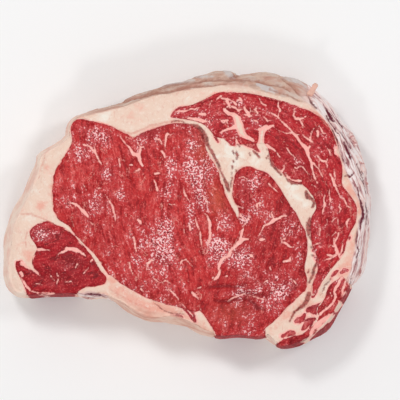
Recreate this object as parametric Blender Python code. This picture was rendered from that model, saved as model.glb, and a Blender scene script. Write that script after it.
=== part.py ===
"""A raw beef rib roast: one thick slice of the rib, lying on its cut face.

Each muscle runs right through the slice as a solid of its own, and the fat is one solid that wraps and
joins them: the fat cap along the back, the seam fat between the muscles and the layer round the sides.
Metres, +Z up. The origin is at the middle of the base, +X along the roast and +Y towards the fat cap.
"""

import math

import bmesh
import bpy
import numpy as np

MM = 0.001

# Driving dimensions
THICKNESS = 54 * MM
BELLY_SPREAD = 1.02  # the belly of the sides stands this much wider than the outline on the cut face
LAYOUT_CENTRE = (8, 5.4)  # the point that the belly spreads from, in mm
SEAM_GAP = 0.3 * MM  # clearance between neighbouring solids
OUTLINE_STEP = 3.6 * MM  # length of one straight side of the roast's outline
SEAM_STEP = 3.0 * MM  # the same for a muscle's outline
FACE_GRID = 8 * MM  # spacing of the cuts that let the cut face swell
MUSCLE_CROWN = 1.3 * MM  # how far a muscle stands proud of the fat
CROWN_RUN = 6 * MM  # distance over which it rises
FACE_SLOPE = 2.0 * MM  # how far the cut face falls away towards the ends
SIDE_LUMPS = 0.7 * MM  # unevenness of the sides

# The roast's widest outline, clockwise from the tip of the eye: x, y and the setback of the cut face's
# edge from it, in mm. The setback is large where the fat cap and the rib side lean outwards.
ROAST_OUTLINE = [
    (-72, 47.5, 1.6), (-70, 53, 1.6), (-65, 57, 1.6), (-50, 60.2, 2), (-20, 72.1, 4), (10, 80.4, 7),
    (18, 83.4, 9), (25, 83.2, 9), (31, 80.6, 8), (38, 81.8, 10), (48, 81.8, 12), (67, 77, 12),
    (82, 67, 10), (103.5, 37.5, 8.5), (110.3, 7, 6), (106.8, -35, 6), (98, -49, 2.5), (86, -70.5, 4),
    (71.5, -80.2, 3), (55.5, -83.6, 2), (48, -77, 1.5), (42, -77.9, 1.5), (30, -76.4, 1.5),
    (20, -77.7, 2), (10, -75, 2.5), (1, -70.8, 3), (-12, -68.2, 3.5), (-24, -67.4, 3.5),
    (-32, -64.2, 3.5), (-48, -53.8, 2), (-57, -54, 2), (-68, -52.2, 2), (-101, -52.8, 3),
    (-106.3, -49.6, 4), (-109.4, -43, 5), (-109.8, -20, 5), (-107, -7.5, 5), (-95.5, 15, 4),
    (-91.6, 25, 3.5), (-89.6, 32.5, 3), (-73, 43.2, 2),
]

# The sides in profile, from the base up: share of the thickness, and share of the setback.
SIDE_PROFILE = [
    (0, 0.62), (0.05, 0.34), (0.2, 0.08), (0.42, 0), (0.66, 0.22), (0.86, 0.6), (0.96, 0.88), (1, 1.12),
]

# Muscle outlines on the cut face, clockwise, in mm. Each is cut back from those before it.
EYE_OUTLINE = [
    (-65.5, 54), (-57, 52.6), (-43, 48.4), (-31.5, 42.6), (-28, 44.6), (-6, 51), (6, 48.4), (9.5, 45),
    (11, 36), (17.5, 25.5), (24, 6.5), (30, -5), (32.5, -10.5), (27, -25), (22, -31), (19, -38),
    (10.5, -50), (8.5, -56), (7.5, -61), (-3, -58.9), (-19, -55), (-46, -39.3), (-54, -28), (-64, -18),
    (-71, -9.5), (-76, -6.5), (-79.3, -1.6), (-79, 21), (-68, 41), (-69.6, 49),
]
INNER_OUTLINE = [
    (31.5, 23.6), (38.5, 25.3), (41.5, 23.6), (49, 20.5), (63, 0.5), (66, -3.4), (68, -8.5),
    (70.8, -13), (72.2, -25), (70.4, -36), (72, -42), (71.6, -48.6), (67.5, -52), (51.5, -67.8),
    (46.5, -72), (47.2, -76), (46, -82), (32, -83), (18.5, -82), (17.2, -75), (10, -62), (4, -57),
    (6, -49), (12, -41), (17, -30), (24, -20), (31.4, -5), (31.6, 0.6), (28.6, 4.6), (27.5, 10),
]
CAP_OUTLINE = [
    (-9, 55.6), (-6, 59.6), (5, 62.6), (22, 70), (81, 54.6), (90.2, 38.2), (90.4, 33.4), (92.6, 28),
    (93.2, 21), (93, 14.6), (101, 3.4), (102, -2), (100.6, -9), (97.4, -15), (93.8, -27.6), (90, -31.6),
    (81, -43.6), (75.4, -53), (75.8, -47), (80, -33), (76, -21), (75.4, -6), (78.8, 1.6), (71.4, 14),
    (65, 16.4), (60, 19.4), (56.6, 23.4), (51.6, 28), (47.4, 40), (42.4, 39.6), (35, 39.4), (28, 37.6),
    (22.6, 42.8), (17.6, 43.6), (14, 48.4), (8.6, 52.4), (-5, 55),
]
SIDE_OUTLINE = [
    (-84, -7.3), (-79, -10), (-73, -12.3), (-57, -29), (-53, -36), (-48, -42.4), (-49.6, -44.8),
    (-65.2, -48.6), (-67, -54), (-68, -60), (-95, -60), (-95.6, -50), (-102.4, -35), (-101.4, -31),
    (-98.9, -31.6), (-96, -35), (-90.6, -38), (-92.4, -33.4), (-91.3, -27.6), (-88.9, -24.3),
    (-94, -14),
]
EDGE_OUTLINE = [
    (93.4, -40.6), (96, -44), (104, -52), (98, -68), (72, -88), (57, -91), (55.5, -81.4), (62, -77.6),
    (69.6, -76), (79.6, -65), (78.6, -60.6), (82, -56), (87.6, -45), (90.8, -43.4),
]

LEAN_RED = (0.42, 0.035, 0.035, 1)
DARK_LEAN = (0.25, 0.012, 0.018, 1)
FAT_CREAM = (0.82, 0.63, 0.52, 1)

# Node, outline and colour of each muscle, in the order in which they are cut back
MUSCLES = [
    ("eye_muscle", EYE_OUTLINE, LEAN_RED),
    ("inner_muscle", INNER_OUTLINE, LEAN_RED),
    ("cap_muscle", CAP_OUTLINE, LEAN_RED),
    ("side_muscle", SIDE_OUTLINE, DARK_LEAN),
    ("edge_muscle", EDGE_OUTLINE, DARK_LEAN),
]


def clear_scene():
    for obj in list(bpy.data.objects):
        bpy.data.objects.remove(obj, do_unlink=True)


def new_collection(name):
    collection = bpy.data.collections.new(name)
    bpy.context.scene.collection.children.link(collection)
    return collection


def closed_curve(points, step):
    """A smooth closed curve through the points, as rows evenly spaced about step apart."""
    knots = np.array(points, float) * MM
    ahead = np.roll(knots, -1, axis=0) - knots
    span = np.linalg.norm(ahead[:, :2], axis=1)[:, None] ** 0.5
    slope = ahead / span
    span_before, slope_before = np.roll(span, 1, axis=0), np.roll(slope, 1, axis=0)
    tangent = (slope_before * span + slope * span_before) / (span + span_before)
    t = np.linspace(0, 1, 12, endpoint=False)[None, :, None]
    start, end = knots[:, None], np.roll(knots, -1, axis=0)[:, None]
    leave, arrive = (tangent * span)[:, None], (np.roll(tangent, -1, axis=0) * span)[:, None]
    blend = 3 * t**2 - 2 * t**3
    dense = start + (end - start) * blend + leave * (t - 2 * t**2 + t**3) + arrive * (t**3 - t**2)
    dense = dense.reshape(-1, knots.shape[1])
    dense = np.vstack([dense, dense[:1]])
    along = np.concatenate([[0], np.cumsum(np.linalg.norm(np.diff(dense[:, :2], axis=0), axis=1))])
    wanted = np.linspace(0, along[-1], round(along[-1] / step), endpoint=False)
    return np.stack([np.interp(wanted, along, column) for column in dense.T], axis=1)


def outward_normals(loop):
    """Unit normals of a clockwise loop, pointing out of it."""
    ahead = np.roll(loop, -1, axis=0) - np.roll(loop, 1, axis=0)
    normals = np.stack([-ahead[:, 1], ahead[:, 0]], axis=1)
    return normals / np.linalg.norm(normals, axis=1)[:, None]


def depth_inside(points, loop):
    """How far each point lies inside the loop, 0 outside it."""
    start, end = loop, np.roll(loop, -1, axis=0)
    side = end - start
    from_start = points[:, None] - start[None]
    share = np.clip((from_start * side).sum(2) / (side**2).sum(1), 0, 1)
    distance = np.linalg.norm(from_start - share[..., None] * side, axis=2).min(1)
    above = (start[:, 1] > points[:, 1:2]) != (end[:, 1] > points[:, 1:2])
    rise = np.where(side[:, 1] == 0, 1, side[:, 1])
    crossing = start[:, 0] + (points[:, 1:2] - start[:, 1]) * side[:, 0] / rise
    inside = (above & (points[:, :1] < crossing)).sum(1) % 2 == 1
    return np.where(inside, distance, 0)


def side_rings(outline):
    """The rings of the sides, from the base up, each a list of points."""
    xy, setback = outline[:, :2], outline[:, 2]
    centre = np.array(LAYOUT_CENTRE) * MM
    normals = outward_normals(xy)
    turn = np.linspace(0, 2 * math.pi, len(xy), endpoint=False)
    rings = []
    for height_share, setback_share in SIDE_PROFILE:
        belly = 1 - setback_share if setback_share < 1 else 0
        wave = np.sin(23 * turn + 9 * height_share) * np.sin(7 * turn - 5 * height_share)
        flat = centre + (xy - centre) * (1 + (BELLY_SPREAD - 1) * belly)
        flat += normals * (SIDE_LUMPS * belly * wave - setback * setback_share)[:, None]
        rings.append([(x, y, height_share * THICKNESS) for x, y in flat])
    return rings


def loft(bm, rings):
    """Joins the rings by quads and closes both ends. Returns the top end's face."""
    loops = [[bm.verts.new(point) for point in ring] for ring in rings]
    for lower, upper in zip(loops, loops[1:]):
        for i in range(len(lower)):
            j = (i + 1) % len(lower)
            bm.faces.new((lower[j], lower[i], upper[i], upper[j]))
    bm.faces.new(loops[0])
    return bm.faces.new(loops[-1][::-1])


def cut_face_into_grid(bm, face):
    """Cuts the top end along lines FACE_GRID apart, so that it can swell. Returns its vertices."""
    xs = [v.co.x for v in face.verts]
    ys = [v.co.y for v in face.verts]
    height = face.verts[0].co.z
    for axis, low, high in ((0, min(xs), max(xs)), (1, min(ys), max(ys))):
        normal = [0, 0, 0]
        normal[axis] = 1
        for i in range(1, math.ceil((high - low) / FACE_GRID)):
            place = [0, 0, 0]
            place[axis] = low + i * FACE_GRID
            top = [f for f in bm.faces if all(abs(v.co.z - height) < 1e-7 for v in f.verts)]
            edges = {e for f in top for e in f.edges}
            bmesh.ops.bisect_plane(bm, geom=top + list(edges), plane_co=place, plane_no=normal)
    return [v for v in bm.verts if abs(v.co.z - height) < 1e-7]


def face_heights(points, muscle):
    """How far the cut face stands above or below its mean, with one muscle's crown if it is given."""
    x, y = (points / THICKNESS).T
    heights = FACE_SLOPE * (0.35 * np.cos(1.1 * x + 0.4) + 0.25 * np.sin(1.7 * y + 0.8 * x) - 0.1 * x**2)
    if muscle is not None:
        rise = np.clip(depth_inside(points, muscle) / CROWN_RUN, 0, 1)
        heights += MUSCLE_CROWN * np.sin(rise * math.pi / 2)
    return heights


def roast_mesh(name, muscle=None):
    """The whole slice as one closed mesh, its cut face raised over the muscle if one is given."""
    bm = bmesh.new()
    top = loft(bm, side_rings(closed_curve(ROAST_OUTLINE, OUTLINE_STEP)))
    verts = cut_face_into_grid(bm, top)
    places = np.array([v.co.xy for v in verts])
    for vert, height in zip(verts, face_heights(places, muscle)):
        vert.co.z += height
    bmesh.ops.recalc_face_normals(bm, faces=bm.faces)
    mesh = bpy.data.meshes.new(name)
    bm.to_mesh(mesh)
    bm.free()
    return mesh


def outline_cutter(name, loop, grow, collection):
    """A tall prism on a flat outline, grown outwards by grow. It is a hidden mesh that cuts others."""
    corners = loop + outward_normals(loop) * grow
    curve = bpy.data.curves.new(name, "CURVE")
    curve.dimensions = "2D"
    curve.fill_mode = "BOTH"
    curve.extrude = THICKNESS
    spline = curve.splines.new("POLY")
    spline.points.add(len(corners) - 1)
    for point, (x, y) in zip(spline.points, corners):
        point.co = (x, y, 0, 1)
    spline.use_cyclic_u = True
    flat = bpy.data.objects.new(name + "_curve", curve)
    collection.objects.link(flat)
    bpy.context.view_layer.update()
    mesh = bpy.data.meshes.new_from_object(flat.evaluated_get(bpy.context.evaluated_depsgraph_get()))
    bpy.data.objects.remove(flat)
    bm = bmesh.new()
    bm.from_mesh(mesh)
    bmesh.ops.remove_doubles(bm, verts=bm.verts, dist=1e-6)
    bmesh.ops.translate(bm, verts=bm.verts, vec=(0, 0, THICKNESS / 2))
    bmesh.ops.recalc_face_normals(bm, faces=bm.faces)
    bm.to_mesh(mesh)
    bm.free()
    cutter = bpy.data.objects.new(name, mesh)
    cutter.hide_render = True
    cutter.display_type = "WIRE"
    collection.objects.link(cutter)
    return cutter


def cut(obj, cutter, operation):
    modifier = obj.modifiers.new(cutter.name, "BOOLEAN")
    modifier.operation = operation
    modifier.object = cutter


def meat_material(name, colour):
    material = bpy.data.materials.new(name)
    material.use_nodes = True
    shader = material.node_tree.nodes["Principled BSDF"]
    shader.inputs["Base Color"].default_value = colour
    shader.inputs["Roughness"].default_value = 0.4
    shader.inputs["Metallic"].default_value = 0
    return material


def add_node(name, mesh, colour, collection):
    node = bpy.data.objects.new(name, mesh)
    mesh.materials.append(meat_material(name, colour))
    mesh.shade_smooth()
    mesh.set_sharp_from_angle(angle=math.radians(35))
    collection.objects.link(node)
    return node


def centre_on_base(nodes, cutters):
    """Moves everything so that the origin is at the middle of the roast's box."""
    corners = np.array(nodes[0].bound_box)
    middle = (corners.min(0) + corners.max(0)) / 2
    for obj in nodes + cutters:
        obj.location = (-middle[0], -middle[1], 0)


def build():
    clear_scene()
    roast = new_collection("beef_rib_roast")
    helpers = new_collection("cutters")
    fat = add_node("fat", roast_mesh("fat"), FAT_CREAM, roast)
    nodes, makers, room_cutters = [fat], [], []
    for name, outline, colour in MUSCLES:
        loop = closed_curve(outline, SEAM_STEP)
        muscle = add_node(name, roast_mesh(name, loop), colour, roast)
        makers.append(outline_cutter(name + "_outline", loop, 0, helpers))
        cut(muscle, makers[-1], "INTERSECT")
        for earlier in room_cutters:
            cut(muscle, earlier, "DIFFERENCE")
        room_cutters.append(outline_cutter(name + "_room", loop, SEAM_GAP, helpers))
        cut(fat, room_cutters[-1], "DIFFERENCE")
        nodes.append(muscle)
    centre_on_base(nodes, makers + room_cutters)


build()
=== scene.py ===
"""The looks of a raw beef rib roast: a thick slice of the rib that lies on its cut face."""

import math

import bpy
import numpy as np
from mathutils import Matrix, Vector
from mathutils.bvhtree import BVHTree


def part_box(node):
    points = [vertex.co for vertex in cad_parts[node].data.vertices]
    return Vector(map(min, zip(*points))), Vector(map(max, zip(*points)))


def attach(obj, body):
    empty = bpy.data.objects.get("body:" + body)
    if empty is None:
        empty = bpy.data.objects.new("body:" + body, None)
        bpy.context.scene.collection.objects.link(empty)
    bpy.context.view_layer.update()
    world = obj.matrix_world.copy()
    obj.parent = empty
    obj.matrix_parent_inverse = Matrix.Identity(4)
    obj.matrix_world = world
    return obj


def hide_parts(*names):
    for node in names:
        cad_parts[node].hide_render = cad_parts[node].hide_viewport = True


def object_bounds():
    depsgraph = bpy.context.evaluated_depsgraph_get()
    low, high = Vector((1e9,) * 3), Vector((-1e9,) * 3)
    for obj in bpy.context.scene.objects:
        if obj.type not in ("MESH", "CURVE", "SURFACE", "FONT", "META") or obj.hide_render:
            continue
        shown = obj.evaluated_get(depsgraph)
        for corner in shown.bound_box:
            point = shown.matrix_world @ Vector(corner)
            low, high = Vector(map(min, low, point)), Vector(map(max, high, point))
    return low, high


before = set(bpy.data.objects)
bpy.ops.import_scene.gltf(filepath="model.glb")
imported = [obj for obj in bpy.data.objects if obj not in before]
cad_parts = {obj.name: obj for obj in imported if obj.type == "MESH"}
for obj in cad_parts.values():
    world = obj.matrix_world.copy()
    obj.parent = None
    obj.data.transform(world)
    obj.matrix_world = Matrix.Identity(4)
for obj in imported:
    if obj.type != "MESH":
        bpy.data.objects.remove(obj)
cad_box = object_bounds()

MM = 0.001
LAYOUT_SHIFT = np.array([-0.2, 0.41])  # from the middle of the drawn layout to the middle of the frame, in mm
MUSCLES = ["eye_muscle", "inner_muscle", "cap_muscle", "side_muscle", "edge_muscle"]

MUSCLE_MESH = 0.7 * MM  # the width of a face on the muscles, on the fat and on the shreds
FAT_MESH = 0.79 * MM
SHRED_MESH = 0.4 * MM
OVERLAP = 0.6 * MM  # how far a muscle's hidden wall reaches into the fat
LIFT = 0.04 * MM  # how far the lean stands over the fat where their meshes cross
HIDDEN_REACH = 1.2 * MM  # walls this near to the other tissue are inside the roast
HIDDEN_DEPTH = 2.5 * MM  # and hidden from this far under the cut face
HIDDEN_SHARE = 0.97  # the share of their faces that is taken off

TOP = max(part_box(name)[1].z for name in MUSCLES)
LOWEST_TOP = 48 * MM  # everything that faces up above this height is the cut face
VIEW_HEIGHT = 1500 * MM  # from the cut face to the camera above it
VIEW_WIDTH = 240 * MM
VIEW_MIDDLE = np.array([8.1, 5.4])  # the place in the layout that the camera is above

RIM_MIDDLE = np.array([15, 2])  # the middle that turns and arc lengths are measured round, in mm
RIM_RADIUS = 85
CAP_MIDDLE = np.array([30, -4])  # the middle that the cap's fibres run round
CAP_RADIUS = 62
STROKES_END = 14  # the height in mm at which the last strokes on the walls end
SKIN_REACH = 15  # how far the silverskin reaches over the rim, in mm
GRAIN_SQUEEZE = 0.25  # along the fibres, which makes the noise four times as long there
STRAND_SQUEEZE = 0.14  # round the side, for the strands of the silverskin
# The way the fibres run on the cut face, in degrees
FIBRE_TURNS = {"eye_muscle": 99, "inner_muscle": 72, "side_muscle": 20, "edge_muscle": 58, "fat": 70}

BUMP_DEPTH = 0.9 * MM
BUMP_STRENGTH = 0.7
SPECULAR = 0.22
SENSOR_WIDTH = 36  # of the camera, in mm

# Veins of fat on the cut face: (x, y, width) in mm along each
EYE_VEINS = [
    [(-62, 39, 0.6), (-58, 37, 0.9), (-55, 34.5, 1.5), (-53, 30, 1.3), (-51, 26, 0.6)],
    [(-55.2, 38, 0.6), (-54.6, 35, 1)],
    [(-55.4, 29.4, 0.6), (-52.6, 28.4, 0.9)],
    [(-40, 43.5, 0.6), (-37.5, 40.5, 0.8), (-35, 38, 1), (-33, 35.5, 1.2), (-31.5, 33, 2), (-29, 32, 2.4),
     (-27.5, 28.5, 1.4), (-26, 26, 0.6)],
    [(-28.5, 32, 1.5), (-27.8, 35, 1.1), (-27.5, 37, 1), (-29.2, 39.5, 0.6)],
    [(-27.5, 37, 0.9), (-25.8, 37.2, 0.6)],
    [(-18.6, 42.2, 0.8), (-16, 41.3, 1.1), (-14.5, 38.5, 0.8)],
    [(-12.8, 37, 0.9), (-12.4, 41, 0.9), (-11.4, 44.6, 0.9), (-9.6, 43.6, 0.7), (-7.6, 45, 0.5)],
    [(-15, 34.6, 1), (-13.6, 33, 1.6), (-13, 30.4, 0.8)],
    [(-40.6, 30, 0.9), (-40, 25, 0.5)],
    [(-34, 26, 1.4), (-32.4, 26.2, 1.2)],
    [(-30, 23, 0.9), (-28, 24, 0.7)],
    [(-19, 20.8, 1.7), (-17, 21.6, 1.2)],
    [(-19.6, 17, 0.7), (-18, 13.5, 0.9), (-17, 11, 0.6)],
    [(-70, 4, 0.9), (-66, 3, 1.6), (-64.4, 1, 1.7), (-61, -2, 1.5), (-59, -4.2, 0.9)],
    [(-66, 3, 1), (-67, 0.6, 0.5)],
    [(-58.6, -6.6, 0.5), (-56, -9, 0.8)],
    [(-62, 14.5, 0.9), (-60, 11, 0.5)],
    [(-53, 12, 1), (-52, 12.2, 1)],
    [(-48.6, 9, 0.5), (-46, 4, 0.8), (-44.6, 0, 1.1), (-43.2, -4, 1.1), (-43, -7.6, 0.5)],
    [(-11, 3, 0.8), (-8.4, 2, 1.4), (-6.8, 2.6, 0.8)],
    [(-1.8, 14.4, 0.5), (-1, 10, 0.9), (1, 5.4, 0.6)],
    [(4.6, -4, 0.6), (6.6, -9, 1), (8, -14, 1.2), (9, -20, 1), (10, -25, 0.5)],
    [(-29, -6, 1), (-27.6, -7.6, 1.7), (-26.8, -9, 0.7)],
    [(-32, -17, 1.2), (-31.5, -20, 0.9), (-30.4, -25, 0.5)],
    [(-34.8, -32, 0.9), (-34.2, -35, 1.2), (-32, -38.6, 0.6)],
    [(-24.2, -36.4, 0.8), (-23.2, -32.6, 1), (-21, -30, 1), (-18.6, -31, 0.5)],
    [(-19.6, -41.4, 0.6), (-17.2, -44, 0.9), (-14, -44.6, 1), (-12.8, -42.8, 0.9), (-10, -44.2, 0.5)],
    [(-3.6, -34.4, 0.5), (-2.6, -31, 0.8), (0, -30.3, 0.8), (3.6, -34, 0.5)],
    [(-27.6, -47.6, 0.8), (-25.6, -49.6, 0.6)],
    [(-11, -48.4, 0.6), (-8, -51, 0.9), (-5, -54, 0.7)],
    [(-18.4, -56, 0.6), (-14, -58, 2.2), (-9, -59.6, 3.2), (-4, -61, 3.4), (-1.2, -62, 2)],
    [(3, -49.6, 1.2), (5, -51.6, 2), (7.6, -54, 0.9)],
    [(5, -48.4, 0.6), (8.4, -47, 0.9)],
    [(-3, -57, 0.6), (1, -60.6, 1), (4, -64, 0.8)],
    [(8.8, -56, 0.9), (8, -60, 1.3), (9.4, -64, 0.9)],
    [(10, -2, 0.6), (12.6, -4.6, 1.2), (13.8, -9, 1.7), (14, -16, 1.6), (13, -22, 1), (12.2, -27, 0.7)],
    [(10, 8, 0.6), (12, 4.4, 0.9), (12, 0.4, 0.5)],
    [(1.6, -9.4, 0.7), (2.6, -12.6, 0.9)],
    [(-1.4, -10, 0.5), (-1, -14.6, 0.8)],
    [(17.6, -5, 0.5), (19, -9.6, 0.8), (18.4, -12, 0.5)],
]
INNER_VEINS = [
    # the seam between the eye and the inner muscle, and the veins that end it
    [(22, 17, 1), (23.4, 12, 1.3), (25.6, 7, 1.8), (27.6, 3, 1.7), (28.6, 0, 1.8), (30.2, -4, 1.4),
     (31.6, -6.4, 0.7)],
    [(26.8, 16, 1.4), (26.2, 9, 1.8), (28.2, 4.4, 1.4), (31, 1.6, 1.1), (34.4, 0.4, 0.6)],
    [(36.4, -7.6, 1.1), (34.6, -9.4, 1), (34, -12, 1), (33, -15, 1.2), (32, -18, 1.6)],
    [(37, -18, 1.2), (34, -18, 2), (31.5, -20, 2.2), (29, -22.5, 2), (27, -25, 2), (25.5, -28, 2.4),
     (23, -29.5, 2.2), (20.5, -31, 2), (19.5, -34, 1.7), (19.8, -38, 1.5), (18.5, -41, 2.1),
     (16.6, -42, 2.4)],
    [(33, -3.6, 0.9), (35, -6.8, 1.1), (38.6, -4.4, 0.6)],
    [(49.4, 15.2, 0.7), (51.6, 13, 0.9), (54.6, 10, 0.5)],
    [(42.2, 0, 0.7), (42.3, 2.8, 0.8), (44, 3.6, 0.7), (43.5, 1, 0.6)],
    [(31.6, 18.6, 0.6), (34, 19.6, 0.9), (36.6, 17.8, 0.6)],
    [(51, -2, 0.6), (52.6, -6, 1)],
    [(46.6, -9.8, 0.6), (50, -8, 1.6), (52, -6.4, 2.4), (55, -5.6, 1.2), (57, -4.6, 1.2), (59.6, -4, 0.8)],
    [(43.4, -17, 0.6), (45, -12.6, 0.7), (46.4, -10, 0.5)],
    [(44.6, -18.6, 1.5), (46.6, -18.2, 1.2)],
    [(56.6, -17.6, 0.7), (57.4, -20.4, 1), (60, -21, 0.9), (63, -22.6, 0.7)],
    [(58, -31.4, 0.8), (62, -30.8, 1), (62.6, -28.8, 0.7)],
    [(38.6, -28, 1.7), (39.4, -28.6, 1.3)],
    [(50, -34.4, 0.9), (50.5, -36.4, 0.6)],
    [(45.6, -44.6, 0.5), (48, -43, 0.8)],
    [(63, -42, 0.8), (65, -44, 0.8), (67, -47, 0.5)],
    [(51, -48.8, 0.8), (54, -48, 0.6)],
    [(23, -40.2, 1), (24.2, -39.8, 1)],
    [(25, -55.6, 1), (28, -53.6, 0.8), (32, -51.6, 0.9), (35, -50.6, 0.8), (38.4, -51.8, 0.6),
     (43, -53.4, 0.8), (48, -54.4, 0.5)],
    [(62.6, -12.6, 0.5), (60, -16, 0.7), (58.4, -18.6, 0.5)],
]
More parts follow.
